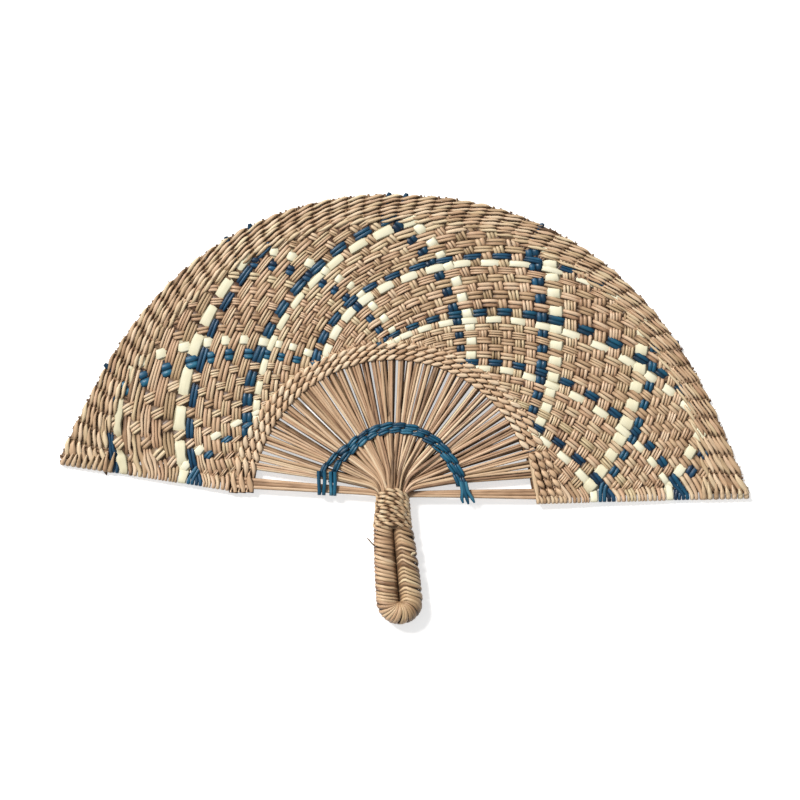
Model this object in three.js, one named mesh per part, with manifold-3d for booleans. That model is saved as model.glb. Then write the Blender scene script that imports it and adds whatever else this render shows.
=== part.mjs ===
// Half-moon hand fan of straw. Spokes spread from a bound loop handle, three twined rows hold them
// apart, and beyond those rows the same straws cross in a woven panel that a twined rim closes.
import * as THREE from "three";
import { mergeVertices } from "three/addons/utils/BufferGeometryUtils.js";
import Module from "manifold-3d";

const wasm = await Module();
wasm.setup();

// Driving sizes, in millimetres and degrees. The plan's zero point is the hub, where the spokes
// meet. The blade spreads towards +Y and the handle hangs towards -Y.

// Gap that neighbouring pieces keep, and the larger one of a strand that bends over a spoke
const CLEARANCE = 0.3;
const BEND_CLEARANCE = 0.55;

// Outline of the blade
const RIM_RADIUS_TOP = 170;
const RIM_RADIUS_RIGHT = 206;
const RIM_RADIUS_LEFT = 194.5;
const RIM_CORNER_ANGLE = 1.75;
const RIM_EVEN_GROWTH_RIGHT = 0.62;
const RIM_EVEN_GROWTH_LEFT = 0.45;
const RIM_EVEN_POWER = 1.2;
const RIM_CORNER_POWER = 8;
const RIGHT_EDGE_TILT = 4.3;
const RIGHT_EDGE_DROP = 9.4;
const LEFT_EDGE_TILT = 5.9;
const LEFT_EDGE_DROP = 14.1;

// Twined rim. Its width changes evenly towards each side and grows again just before the corner.
const RIM_ROWS = 7;
const RIM_WIDTH_TOP = 15.2;
const RIM_EVEN_WIDENING_RIGHT = -3;
const RIM_EVEN_WIDENING_LEFT = 4;
const RIM_CORNER_WIDENING_RIGHT = 14;
const RIM_CORNER_WIDENING_LEFT = 10;
const RIM_CORNER_WIDENING_POWER = 10;
const RIM_THICKNESS = 4.2;
const RIM_BASE_SHARE = 0.75;
const RIM_CROWN_SHARE = 0.55;
const RIM_SHOULDER_SHARE = 0.45;
const RIM_STEPS = 22;

// Woven panel. A guide gives one strand's direction from the hub at the band, half-way out and at
// the rim, and seven strands fill each step between guides.
const LEFTWARD_GUIDES = [
  [-41, -10.2, 10.5], [-9.4, 13.1, 32.5], [27.9, 47.5, 61], [63.9, 76.4, 90.8],
  [92.5, 107, 123], [123.8, 140.8, 157.8], [155.5, 186.5, 209.5],
];
const RIGHTWARD_GUIDES = [
  [24.3, -8.6, -22.6], [59, 22.2, -9], [96, 54.9, 21.6], [121.5, 94.6, 50.4],
  [156, 122.6, 92.5], [209.8, 161.4, 123.8], [268, 219.5, 167],
];
const STRANDS_PER_GUIDE = 7;
const WEAVE_PEAK = 1.4;
const WEAVE_VALLEY = 0.6;
const WEAVE_UNDERSIDE = 1.2;
const WEAVE_OVERRUN = 0.12;
const WEAVE_SIDE_OVERRUN = 0.12;

// Inner twined band
const BAND_ROWS = 3;
const BAND_RADIUS_TOP = 75;
const BAND_RADIUS_SIDE = 80;
const BAND_ROW_PITCH_TOP = 3.2;
const BAND_ROW_PITCH_SIDE = 4.5;
const BAND_WIDENING_POWER = 1.5;
const BAND_STRAND_THICKNESS = 1;

// Share of a stitch's width that its strand keeps where it twists on edge between two spokes, and
// half the flat stretch on a crossing as a share of the width of what it crosses
const TWIST_NARROWING = 0.45;
const FLAT_SHARE = 0.36;

// Spokes
const BUNDLES = 14;
const SPOKES_PER_BUNDLE = 3;
const FIRST_SPOKE_ANGLE = 9.9;
const LAST_SPOKE_ANGLE = 172.9;
const SPOKE_WIDTH = 2.4;
const SPOKE_THICKNESS = 1;
const SPOKE_ROOT_THICKNESS = 1.9;
const BUNDLE_WIDTH = 5;
const BUNDLE_THICKNESS = 2.3;
const BUNDLE_LENGTH = 38;
const RIB_WIDTH = 7;
const RIB_NECK_WIDTH = 3.2;
const RIB_BELLY_WIDTH = 5.6;
const RIB_BELLY_PLACE = 0.3;
const RIB_INSET = 1.2;
const RIB_NECK_DROP = 1.1;

// Blue twined arc
const ARC_RADIUS_TOP = 35.5;
const ARC_RADIUS_SIDE = 43;
const ARC_FLARE_POWER = 6;
const ARC_STRAND_WIDTH = 3;
const ARC_STRAND_THICKNESS = 1.5;

// Handle
const HEAD_RADIUS = 9;
const HEAD_THICKNESS = 8;
const NECK_LENGTH = 18.6;
const NECK_TOP_WIDTH = 15.8;
const NECK_FOOT_WIDTH = 18.4;
const NECK_THICKNESS = 9.4;
const NECK_LEAN = 0.85;
const NECK_START = 3.2;
const LEG_THICKNESS_TOP = 6.6;
const LEG_THICKNESS_LOOP = 9.4;
const SLOT_WIDTH_TOP = 0.9;
const SLOT_WIDTH_LOOP = 2.6;
const LOOP_LENGTH = 41.6;
const LOOP_LEAN = 6.05;
const CORD_THICKNESS = 1.4;
const CORD_WIDTH = 5.2;
const CORD_GAP = 0.6;
const NECK_TURNS = 9;
const LOOP_TURNS = 23;
const TURN_STEPS = 12;
const BEND_PITCH_GAIN = 0.5;
const LOOP_WRAP_START = 0.03;

const radians = THREE.MathUtils.degToRad;
const lerp = THREE.MathUtils.lerp;
const clamp = THREE.MathUtils.clamp;
const UP = new THREE.Vector3(0, 0, 1);

// Heights follow from what lies on the table: the rim on its flat underside, the loop on its cord.
const handleHeight = cordOuter(LEG_THICKNESS_LOOP / 2);
const rimHeight = RIM_THICKNESS / 2;
const freeSpokes = BUNDLES * SPOKES_PER_BUNDLE;

// The cords on the two legs leave the slot between them.
const legSpacing = 2 * cordOuter(LEG_THICKNESS_TOP / 2) + SLOT_WIDTH_TOP;
const bendRadius = cordOuter(LEG_THICKNESS_LOOP / 2) + SLOT_WIDTH_LOOP / 2;

// Distance from an axis to the middle of the cord wound round it, so far out that the straight
// steps of each turn keep their clearance
function cordReach(coreHalf) {
  return (coreHalf + CLEARANCE + CORD_THICKNESS / 2) / Math.cos(Math.PI / TURN_STEPS);
}

function cordOuter(coreHalf) {
  return cordReach(coreHalf) + CORD_THICKNESS / 2;
}

// Point at a distance and a direction from the hub
function polar(radius, angle, height = 0) {
  return new THREE.Vector3(radius * Math.cos(angle), radius * Math.sin(angle), height);
}

// How far a direction lies from the middle of the blade: 0 at the top, 1 at the rim's corners
function towardsSide(angle) {
  return Math.abs(angle - Math.PI / 2) / radians(90 - RIM_CORNER_ANGLE);
}

function rimRadius(angle) {
  const side = towardsSide(angle);
  const isRight = angle < Math.PI / 2;
  const sideRadius = isRight ? RIM_RADIUS_RIGHT : RIM_RADIUS_LEFT;
  const even = isRight ? RIM_EVEN_GROWTH_RIGHT : RIM_EVEN_GROWTH_LEFT;
  const growth = even * side ** RIM_EVEN_POWER + (1 - even) * side ** RIM_CORNER_POWER;
  return RIM_RADIUS_TOP + (sideRadius - RIM_RADIUS_TOP) * growth;
}

function rimWidth(angle) {
  const side = towardsSide(angle);
  const isRight = angle < Math.PI / 2;
  const even = isRight ? RIM_EVEN_WIDENING_RIGHT : RIM_EVEN_WIDENING_LEFT;
  const corner = isRight ? RIM_CORNER_WIDENING_RIGHT : RIM_CORNER_WIDENING_LEFT;
  return RIM_WIDTH_TOP + even * side + corner * side ** RIM_CORNER_WIDENING_POWER;
}

function bandRowPitch(angle) {
  return lerp(BAND_ROW_PITCH_TOP, BAND_ROW_PITCH_SIDE, towardsSide(angle) ** BAND_WIDENING_POWER);
}

function bandInnerRadius(angle) {
  return lerp(BAND_RADIUS_TOP, BAND_RADIUS_SIDE, towardsSide(angle) ** 2);
}

function bandOuterRadius(angle) {
  return bandInnerRadius(angle) + BAND_ROWS * bandRowPitch(angle);
}

function panelInnerRadius(angle) {
  return bandOuterRadius(angle) + BEND_CLEARANCE;
}

function panelOuterRadius(angle) {
  return rimRadius(angle) - rimWidth(angle);
}

// The blade dishes: its middle plane falls evenly from the hub to the rim.
function bladeHeight(radius, angle) {
  return lerp(handleHeight, rimHeight, Math.min(1, radius / panelOuterRadius(angle)));
}

// The two lower edges are straight and pass below the hub, so their direction from the hub
// depends on the distance from it.
function rightEdgeAngle(radius) {
  return radians(RIGHT_EDGE_TILT) - Math.asin(RIGHT_EDGE_DROP / radius);
}

function leftEdgeAngle(radius) {
  return Math.PI - radians(LEFT_EDGE_TILT) + Math.asin(LEFT_EDGE_DROP / radius);
}

// Direction from the hub of a share of the way from the right edge to the left one, along the
// line whose distance from the hub is given as a function of direction.
function bladeAngle(share, radiusOf) {
  let angle = Math.PI * share;
  for (let pass = 0; pass < 6; pass++) {
    const radius = radiusOf(angle);
    angle = lerp(rightEdgeAngle(radius), leftEdgeAngle(radius), share);
  }
  return angle;
}

// Oval ring of points round a centre, spanned by two directions
function ovalRing(centre, across, through, halfAcross, halfThrough, sides) {
  return Array.from({ length: sides }, (_, index) => {
    const turn = (2 * Math.PI * index) / sides;
    return centre
      .clone()
      .addScaledVector(across, halfAcross * Math.cos(turn))
      .addScaledVector(through, halfThrough * Math.sin(turn));
  });
}

// Turn a closed surface outside out
function facingOut(positions, faces) {
  const corner = (index) => new THREE.Vector3().fromArray(positions, 3 * index);
  const volume = faces.reduce((sum, [a, b, c]) => sum + corner(a).dot(corner(b).cross(corner(c))), 0);
  const ordered = volume < 0 ? faces.map(([a, b, c]) => [a, c, b]) : faces;
  const geometry = new THREE.BufferGeometry();
  geometry.setAttribute("position", new THREE.Float32BufferAttribute(positions, 3));
  geometry.setIndex(ordered.flat());
  return geometry;
}

// Skin a row of rings that all have as many points, with a flat cap on each end
function loft(rings) {
  const sides = rings[0].length;
  const positions = rings.flat().flatMap((point) => point.toArray());
  const faces = [];
  for (let ring = 1; ring < rings.length; ring++) {
    for (let side = 0; side < sides; side++) {
      const near = (ring - 1) * sides + side;
      const nearNext = (ring - 1) * sides + ((side + 1) % sides);
      faces.push([near, nearNext, nearNext + sides], [near, nearNext + sides, near + sides]);
    }
  }
  const last = (rings.length - 1) * sides;
  for (let side = 1; side < sides - 1; side++) {
    faces.push([0, side + 1, side], [last, last + side, last + side + 1]);
  }
  return facingOut(positions, faces);
}

// Closed geometry as a solid that can be joined to others
function solidOf(geometry) {
  const bare = geometry.clone();
  bare.deleteAttribute("normal");
  bare.deleteAttribute("uv");
  const merged = mergeVertices(bare, 1e-4);
  const mesh = new wasm.Mesh({
    numProp: 3,
    vertProperties: new Float32Array(merged.attributes.position.array),
    triVerts: new Uint32Array(merged.index.array),
  });
  return new wasm.Manifold(mesh);
}

function geometryOf(solid) {
  const { vertProperties, triVerts } = solid.getMesh();
  const geometry = new THREE.BufferGeometry();
  geometry.setAttribute("position", new THREE.Float32BufferAttribute(vertProperties, 3));
  geometry.setIndex(Array.from(triVerts));
  return geometry;
}

function joined(geometries) {
  return geometryOf(geometries.map(solidOf).reduce((whole, next) => whole.add(next)));
}

// Colours and surfaces
const STRAW = { color: 0xc9a67d, roughness: 0.62, metalness: 0 };
const PALE_STRAW = { color: 0xdcc094, roughness: 0.6, metalness: 0 };
const CORD_STRAW = { color: 0xd7b987, roughness: 0.58, metalness: 0 };
const BLUE_STRAW = { color: 0x125070, roughness: 0.5, metalness: 0 };

const fan = new THREE.Group();
fan.name = "straw_fan";

function addPiece(name, geometry, look) {
  geometry.computeVertexNormals();
  const piece = new THREE.Mesh(geometry, new THREE.MeshStandardMaterial(look));
  piece.name = name;
  fan.add(piece);
}

// Spokes. Three of them run together from the head of the handle to just past the blue arc.

function spokeAngle(index) {
  return radians(lerp(FIRST_SPOKE_ANGLE, LAST_SPOKE_ANGLE, index / (freeSpokes - 1)));
}

const bundleSpacing = spokeAngle(SPOKES_PER_BUNDLE) - spokeAngle(0);
const bundleStart = HEAD_RADIUS + CLEARANCE;

function bundleAngle(bundle) {
  return spokeAngle(bundle * SPOKES_PER_BUNDLE + (SPOKES_PER_BUNDLE - 1) / 2);
}

// Straight run of oval rings between stations, each with a place, half width and half thickness
function straightBar(stations, sides) {
  const first = stations[0].place;
  const last = stations[stations.length - 1].place;
  const along = last.clone().sub(first).setZ(0).normalize();
  const across = new THREE.Vector3(-along.y, along.x, 0);
  return loft(stations.map(({ place, halfWidth, halfThickness }) =>
    ovalRing(place, across, UP, halfWidth, halfThickness, sides)));
}

// The stem narrows towards the head, where its straws pile up in depth.
function stemStation(radius, angle) {
  const room = (radius * bundleSpacing - CLEARANCE) / 2;
  const halfWidth = Math.min(BUNDLE_WIDTH / 2, room);
  const halfThickness = (BUNDLE_WIDTH * BUNDLE_THICKNESS) / 4 / halfWidth;
  return { place: polar(radius, angle, bladeHeight(radius, angle)), halfWidth, halfThickness };
}

// Ends of one spoke's centre line: where it leaves its bundle and where it meets the panel
function spokeEnds(index) {
  const bundle = Math.floor(index / SPOKES_PER_BUNDLE);
  const middle = bundleAngle(bundle);
  const seat = (index % SPOKES_PER_BUNDLE) - (SPOKES_PER_BUNDLE - 1) / 2;
  const startRadius = BUNDLE_LENGTH - BUNDLE_WIDTH;
  const shift = (seat * BUNDLE_WIDTH) / SPOKES_PER_BUNDLE;
  const start = polar(startRadius, middle, bladeHeight(startRadius, middle));
  start.addScaledVector(new THREE.Vector3(-Math.sin(middle), Math.cos(middle), 0), shift);
  const angle = spokeAngle(index);
  const endRadius = bandOuterRadius(angle);
  return [start, polar(endRadius, angle, bladeHeight(endRadius, angle))];
}

function station(place, width, thickness) {
  return { place, halfWidth: width / 2, halfThickness: thickness / 2 };
}

function spoke(index) {
  const [start, end] = spokeEnds(index);
  const bandShare = 1 - (BAND_ROWS * BAND_ROW_PITCH_SIDE + SPOKE_WIDTH) / start.distanceTo(end);
  return straightBar([
    station(start, BUNDLE_WIDTH / SPOKES_PER_BUNDLE, SPOKE_ROOT_THICKNESS),
    station(start.clone().lerp(end, bandShare), SPOKE_WIDTH, SPOKE_THICKNESS),
    station(end, SPOKE_WIDTH, SPOKE_THICKNESS),
  ], 6);
}

function spokeBundle(bundle) {
  const angle = bundleAngle(bundle);
  const fullWidthRadius = (BUNDLE_WIDTH + CLEARANCE) / bundleSpacing;
  const radii = [bundleStart, (bundleStart + fullWidthRadius) / 2, fullWidthRadius, BUNDLE_LENGTH];
  const pieces = [straightBar(radii.map((radius) => stemStation(radius, angle)), 6)];
  for (let seat = 0; seat < SPOKES_PER_BUNDLE; seat++) {
    pieces.push(spoke(bundle * SPOKES_PER_BUNDLE + seat));
  }
  return joined(pieces);
}

for (let bundle = 0; bundle < BUNDLES; bundle++) {
  addPiece(`spoke_bundle_${String(bundle + 1).padStart(2, "0")}`, spokeBundle(bundle), STRAW);
}

// Edge ribs, one along each lower edge. side is 1 on the right and -1 on the left.

function ribEnds(side) {
  const edgeAngle = side > 0 ? rightEdgeAngle : leftEdgeAngle;
  const inset = RIB_WIDTH / 2 + RIB_INSET;
  const onEdge = bladeAngle(side > 0 ? 0 : 1, bandOuterRadius);
  const endRadius = bandOuterRadius(onEdge);
  const angle = edgeAngle(endRadius) + (side * inset) / endRadius;
  const start = new THREE.Vector3(side * bundleStart, -RIB_NECK_DROP, handleHeight);
  const tipRadius = bandOuterRadius(angle) - CLEARANCE;
  return [start, polar(tipRadius, angle, bladeHeight(tipRadius, angle))];
}

function edgeRib(side) {
  const [start, end] = ribEnds(side);
  const bandShare = 1 - (BAND_ROWS * BAND_ROW_PITCH_SIDE + RIB_WIDTH) / start.distanceTo(end);
  const neckThickness = 2 * stemStation(bundleStart, 0).halfThickness;
  return straightBar([
    station(start, RIB_NECK_WIDTH, neckThickness),
    station(start.clone().lerp(end, RIB_BELLY_PLACE), RIB_BELLY_WIDTH, BUNDLE_THICKNESS),
    station(start.clone().lerp(end, bandShare), RIB_WIDTH, SPOKE_THICKNESS),
    station(end, RIB_WIDTH, SPOKE_THICKNESS),
  ], 6);
}

addPiece("right_edge_rib", edgeRib(1), STRAW);
addPiece("left_edge_rib", edgeRib(-1), STRAW);

// Twining. Two strands wind round the line of a row, over one spoke and under the next, and pass
// side by side in each gap between spokes.

// Direction from the hub at which a straight centre line is a given distance from it
function angleAtRadius([start, end], radius) {
  let near = 0;
  let far = 1;
  for (let pass = 0; pass < 24; pass++) {
    const middle = (near + far) / 2;
    const place = start.clone().lerp(end, middle);
    if (Math.hypot(place.x, place.y) < radius) {
      near = middle;
    } else {
      far = middle;
    }
  }
  const place = start.clone().lerp(end, near);
  const angle = Math.atan2(place.y, place.x);
  return angle < -Math.PI / 2 ? angle + 2 * Math.PI : angle;
}

// What a row crosses at its own radius: each centre direction and the flat stretch on top of it
function crossingsOf(lines, radiusOf, flats) {
  return lines.map((line, index) => {
    let angle = angleAtRadius(line, radiusOf(Math.PI / 2));
    angle = angleAtRadius(line, radiusOf(angle));
    return { angle, flat: flats[index] / radiusOf(angle) };
  });
}

// Quarter turns of a strand, each with its direction from the hub
function strandKnots(crossings, radiusOf) {
  const knots = [{ angle: bladeAngle(0, radiusOf), turn: -1 }];
  crossings.forEach(({ angle, flat }, index) => {
    if (index > 0) {
      const before = crossings[index - 1];
      const between = (before.angle + before.flat + angle - flat) / 2;
      knots.push({ angle: between, turn: 2 * index - 1 });
    }
    knots.push({ angle: angle - flat, turn: 2 * index });
    if (flat > 0) {
      knots.push({ angle: angle + flat, turn: 2 * index });
    }
  });
  knots.push({ angle: bladeAngle(1, radiusOf), turn: 2 * crossings.length - 1 });
  return knots;
}

// One strand, flat like the straw it is. startTurn sets which of the pair it is, liftOf how far
// it stands off the blade's middle plane on a spoke, and widthOf how wide its stitch is.
function twinedStrand({ knots, radiusOf, liftOf, widthOf, thickness, sides, startTurn }) {
  const swing = thickness / 2 + CLEARANCE;
  return loft(knots.map(({ angle, turn }) => {
    const quarter = ((turn + startTurn) * Math.PI) / 2;
    const radius = radiusOf(angle);
    const outward = polar(1, angle);
    const isOnSpoke = turn % 2 === 0;
    const centre = polar(radius, angle, bladeHeight(radius, angle))
      .addScaledVector(outward, swing * Math.sin(quarter))
      .addScaledVector(UP, liftOf(angle) * Math.cos(quarter));
    const across = outward.clone().applyAxisAngle(polar(1, angle + Math.PI / 2), quarter);
    const through = UP.clone().applyAxisAngle(polar(1, angle + Math.PI / 2), quarter);
    const halfWidth = (widthOf(angle) / 2) * (isOnSpoke ? 1 : TWIST_NARROWING);
    return ovalRing(centre, across, through, halfWidth, thickness / 2, sides);
  }));
}

const spokeLines = Array.from({ length: freeSpokes }, (_, index) => spokeEnds(index));
const bandLines = [ribEnds(1), ...spokeLines, ribEnds(-1)];
const isRibLine = (index) => index % (bandLines.length - 1) === 0;
const bandFlats = bandLines.map((_, index) => (isRibLine(index) ? RIB_WIDTH * FLAT_SHARE : 0));

function bandRow(row, startTurn) {
  const radiusOf = (angle) => bandInnerRadius(angle) + (row + 0.5) * bandRowPitch(angle);
  const crossings = crossingsOf(bandLines, radiusOf, bandFlats);
  return twinedStrand({
    knots: strandKnots(crossings, radiusOf),
    radiusOf,
    liftOf: () => (SPOKE_THICKNESS + BAND_STRAND_THICKNESS) / 2 + BEND_CLEARANCE,
    widthOf: (angle) => bandRowPitch(angle) - CLEARANCE,
    thickness: BAND_STRAND_THICKNESS,
    sides: 4,
    startTurn,
  });
}

for (let row = 0; row < BAND_ROWS; row++) {
  addPiece(`band_row_${row + 1}_strand_a`, bandRow(row, 0), PALE_STRAW);
  addPiece(`band_row_${row + 1}_strand_b`, bandRow(row, 2), PALE_STRAW);
}

// Blue arc, twined over whole bundles

function arcRadius(angle) {
  return lerp(ARC_RADIUS_TOP, ARC_RADIUS_SIDE, towardsSide(angle) ** ARC_FLARE_POWER);
}

const bundleLines = Array.from({ length: BUNDLES }, (_, bundle) => {
  const angle = bundleAngle(bundle);
  return [polar(bundleStart, angle), polar(BUNDLE_LENGTH * 1.5, angle)];
});

function blueStrand(startTurn) {
  const lines = [ribEnds(1), ...bundleLines, ribEnds(-1)];
  const flats = lines.map(() => BUNDLE_WIDTH * FLAT_SHARE);
  const crossings = crossingsOf(lines, arcRadius, flats);
  return twinedStrand({
    knots: strandKnots(crossings, arcRadius),
    radiusOf: arcRadius,
    liftOf: () => (BUNDLE_THICKNESS + ARC_STRAND_THICKNESS) / 2 + BEND_CLEARANCE,
    widthOf: () => ARC_STRAND_WIDTH,
    thickness: ARC_STRAND_THICKNESS,
    sides: 4,
    startTurn,
  });
}

addPiece("blue_arc_strand_a", blueStrand(0), BLUE_STRAW);
addPiece("blue_arc_strand_b", blueStrand(2), BLUE_STRAW);

// Woven panel. Its top face rises to a low pillow at every crossing of a leftward and a rightward
// strand, and its underside is smooth.

function guideAngle([inner, middle, outer], out) {
  return inner * (1 - out) * (1 - 2 * out) + 4 * middle * out * (1 - out) + outer * out * (2 * out - 1);
}

// Direction from the hub of a strand at a share of the way out, between or beyond the guides
function strandAngle(guides, strand, out) {
  const place = (strand + 0.5) / STRANDS_PER_GUIDE;
  const near = clamp(Math.floor(place), 0, guides.length - 2);
  const step = place - near;
  return radians(lerp(guideAngle(guides[near], out), guideAngle(guides[near + 1], out), step));
}

function panelRadius(angle, out) {
  return lerp(panelInnerRadius(angle), panelOuterRadius(angle) - CLEARANCE, out);
}

// Place where a leftward and a rightward strand cross, or nothing where they cross off the panel
function crossingPlace(leftward, rightward, rise) {
  const apart = (out) =>
    strandAngle(LEFTWARD_GUIDES, leftward, out) - strandAngle(RIGHTWARD_GUIDES, rightward, out);
  let near = -WEAVE_OVERRUN;
  let far = 1 + WEAVE_OVERRUN;
  if (apart(near) > 0 || apart(far) < 0) {
    return undefined;
  }
  for (let pass = 0; pass < 24; pass++) {
    const middle = (near + far) / 2;
    if (apart(middle) < 0) {
      near = middle;
    } else {
      far = middle;
    }
  }
  const angle = strandAngle(LEFTWARD_GUIDES, leftward, near);
  if (towardsSide(angle) > 1 + WEAVE_SIDE_OVERRUN) {
    return undefined;
  }
  const radius = panelRadius(angle, near);
  return polar(radius, angle, bladeHeight(radius, angle) + rise);
}

// Close a sheet of triangles into a block that ends in a flat face at a level height
function blockTo(level, points, faces) {
  const count = points.length;
  const edges = new Set(faces.flatMap(([a, b, c]) => [`${a},${b}`, `${b},${c}`, `${c},${a}`]));
  const walls = [];
  for (const edge of edges) {
    const [a, b] = edge.split(",").map(Number);
    if (!edges.has(`${b},${a}`)) {
      walls.push([b, a, a + count], [b, a + count, b + count]);
    }
  }
  const opposite = points.map((point) => point.clone().setZ(level));
  const oppositeFaces = faces.map(([a, b, c]) => [a + count, c + count, b + count]);
  const positions = [...points, ...opposite].flatMap((point) => point.toArray());
  return facingOut(positions, [...faces, ...oppositeFaces, ...walls]);
}

// One low pyramid over each crossing, its four corners in the gaps between the strands
function weaveBlock() {
  const points = [];
  const faces = [];
  const corners = new Map();
  const cornerAt = (leftward, rightward) => {
    const key = `${leftward},${rightward}`;
    if (!corners.has(key)) {
      const place = crossingPlace(leftward, rightward, WEAVE_VALLEY);
      corners.set(key, place ? points.push(place) - 1 : undefined);
    }
    return corners.get(key);
  };
  const strands = (LEFTWARD_GUIDES.length + 1) * STRANDS_PER_GUIDE;
  for (let leftward = -STRANDS_PER_GUIDE; leftward < strands; leftward++) {
    for (let rightward = -STRANDS_PER_GUIDE; rightward < strands; rightward++) {
      const top = crossingPlace(leftward, rightward, WEAVE_PEAK);
      const around = [[-0.5, -0.5], [0.5, -0.5], [0.5, 0.5], [-0.5, 0.5]]
        .map(([left, right]) => cornerAt(leftward + left, rightward + right));
      if (top && around.every((corner) => corner !== undefined)) {
        const peak = points.push(top) - 1;
        around.forEach((corner, index) => faces.push([corner, around[(index + 1) % 4], peak]));
      }
    }
  }
  return blockTo(-2 * handleHeight, points, faces);
}

// The panel's outline as a block that has the panel's underside and a flat top well above it. It
// steps round the blade as the rim does, so that the two keep an even gap.
function panelBlock() {
  const points = [];
  const faces = [];
  for (let step = 0; step <= RIM_STEPS; step++) {
    for (const out of [0, 1]) {
      const angle = bladeAngle(step / RIM_STEPS, (direction) => panelRadius(direction, out));
      const radius = panelRadius(angle, out);
      points.push(polar(radius, angle, bladeHeight(radius, angle) - WEAVE_UNDERSIDE));
    }
  }
  for (let step = 0; step < RIM_STEPS; step++) {
    const near = 2 * step;
    faces.push([near, near + 1, near + 3], [near, near + 3, near + 2]);
  }
  return blockTo(2 * handleHeight, points, faces);
}

function wovenPanel() {
  return geometryOf(solidOf(weaveBlock()).intersect(solidOf(panelBlock())));
}

addPiece("woven_panel", wovenPanel(), STRAW);

// Rim rows, each a flat-bottomed bead that widens with the rim towards the corners

function rimRow(row) {
  const share = (row + 0.5) / RIM_ROWS;
  const radiusOf = (angle) => panelOuterRadius(angle) + share * rimWidth(angle);
  return loft(Array.from({ length: RIM_STEPS + 1 }, (_, step) => {
    const angle = bladeAngle(step / RIM_STEPS, radiusOf);
    const outward = polar(1, angle);
    const halfWidth = (rimWidth(angle) / RIM_ROWS - CLEARANCE) / 2;
    const place = (across, height) =>
      polar(radiusOf(angle), angle, height * RIM_THICKNESS).addScaledVector(outward, across * halfWidth);
    return [
      place(-RIM_BASE_SHARE, 0),
      place(RIM_BASE_SHARE, 0),
      place(1, RIM_SHOULDER_SHARE),
      place(RIM_CROWN_SHARE, 1),
      place(-RIM_CROWN_SHARE, 1),
      place(-1, RIM_SHOULDER_SHARE),
    ];
  }));
}

for (let row = 0; row < RIM_ROWS; row++) {
  addPiece(`rim_row_${row + 1}`, rimRow(row), STRAW);
}

// Handle core: the gathered straws, from the head through the neck and round the loop

const neckTop = new THREE.Vector3(0, -NECK_START, handleHeight);
const neckFoot = new THREE.Vector3(NECK_LEAN, -NECK_START - NECK_LENGTH, handleHeight);
const bendCentre = neckFoot.clone().add(new THREE.Vector3(LOOP_LEAN, -LOOP_LENGTH, 0));

// Point on a leg's centre line at a share of the way down. side is -1 on the left and 1 on the right.
function legPoint(side, share) {
  const spread = lerp(legSpacing / 2, bendRadius, Math.sin((Math.PI / 2) * share));
  return neckFoot.clone().lerp(bendCentre, share).add(new THREE.Vector3(side * spread, 0, 0));
}

const bendRoute = [1, 1.25, 1.5, 1.75, 2].map((halfTurns) =>
  bendCentre.clone().add(polar(bendRadius, Math.PI * halfTurns)));
const loopCurve = new THREE.CatmullRomCurve3([
  ...[0, 1 / 3, 2 / 3].map((share) => legPoint(-1, share)),
  ...bendRoute,
  ...[2 / 3, 1 / 3, 0].map((share) => legPoint(1, share)),
]);

function loopHalfThickness(share) {
  const fullness = Math.sin(Math.PI * share) ** 0.8;
  return lerp(LEG_THICKNESS_TOP, LEG_THICKNESS_LOOP, fullness) / 2;
}

// Directions square to the loop's line: sideways in the plan
function sideways(curve, share) {
  const tangent = curve.getTangentAt(share);
  return new THREE.Vector3(-tangent.y, tangent.x, 0).normalize();
}

function loopCore() {
  const steps = 24;
  return loft(Array.from({ length: steps + 1 }, (_, step) => {
    const share = step / steps;
    const half = loopHalfThickness(share);
    return ovalRing(loopCurve.getPointAt(share), sideways(loopCurve, share), UP, half, half, 10);
  }));
}

function neckHalfWidth(share) {
  return lerp(NECK_TOP_WIDTH, NECK_FOOT_WIDTH, share) / 2;
}

function neckCore() {
  const across = new THREE.Vector3(1, 0, 0);
  const ends = [[neckTop, 0], [neckFoot, 1]];
  return loft(ends.map(([place, share]) =>
    ovalRing(place, across, UP, neckHalfWidth(share), NECK_THICKNESS / 2, 14)));
}

function headCore() {
  const outline = new THREE.Shape();
  outline.moveTo(HEAD_RADIUS, 0);
  outline.absarc(0, 0, HEAD_RADIUS, 0, Math.PI, false);
  outline.lineTo(-NECK_TOP_WIDTH / 2, -NECK_START);
  outline.lineTo(NECK_TOP_WIDTH / 2, -NECK_START);
  const settings = { depth: HEAD_THICKNESS, bevelEnabled: false, curveSegments: 14 };
  const head = new THREE.ExtrudeGeometry(outline, settings);
  head.translate(0, 0, handleHeight - HEAD_THICKNESS / 2);
  return head;
}

addPiece("handle_core", joined([loopCore(), neckCore(), headCore()]), STRAW);

// Cord windings on the neck and the loop

// Least distance between points of turns that are not next to each other along the cord
function leastGap(rings, turnSteps) {
  let least = Infinity;
  for (let first = 0; first < rings.length; first++) {
    for (let second = first + Math.round(turnSteps * 0.6); second < rings.length; second++) {
      for (const point of rings[first]) {
        for (const other of rings[second]) {
          least = Math.min(least, point.distanceTo(other));
        }
      }
    }
  }
  return least;
}

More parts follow.
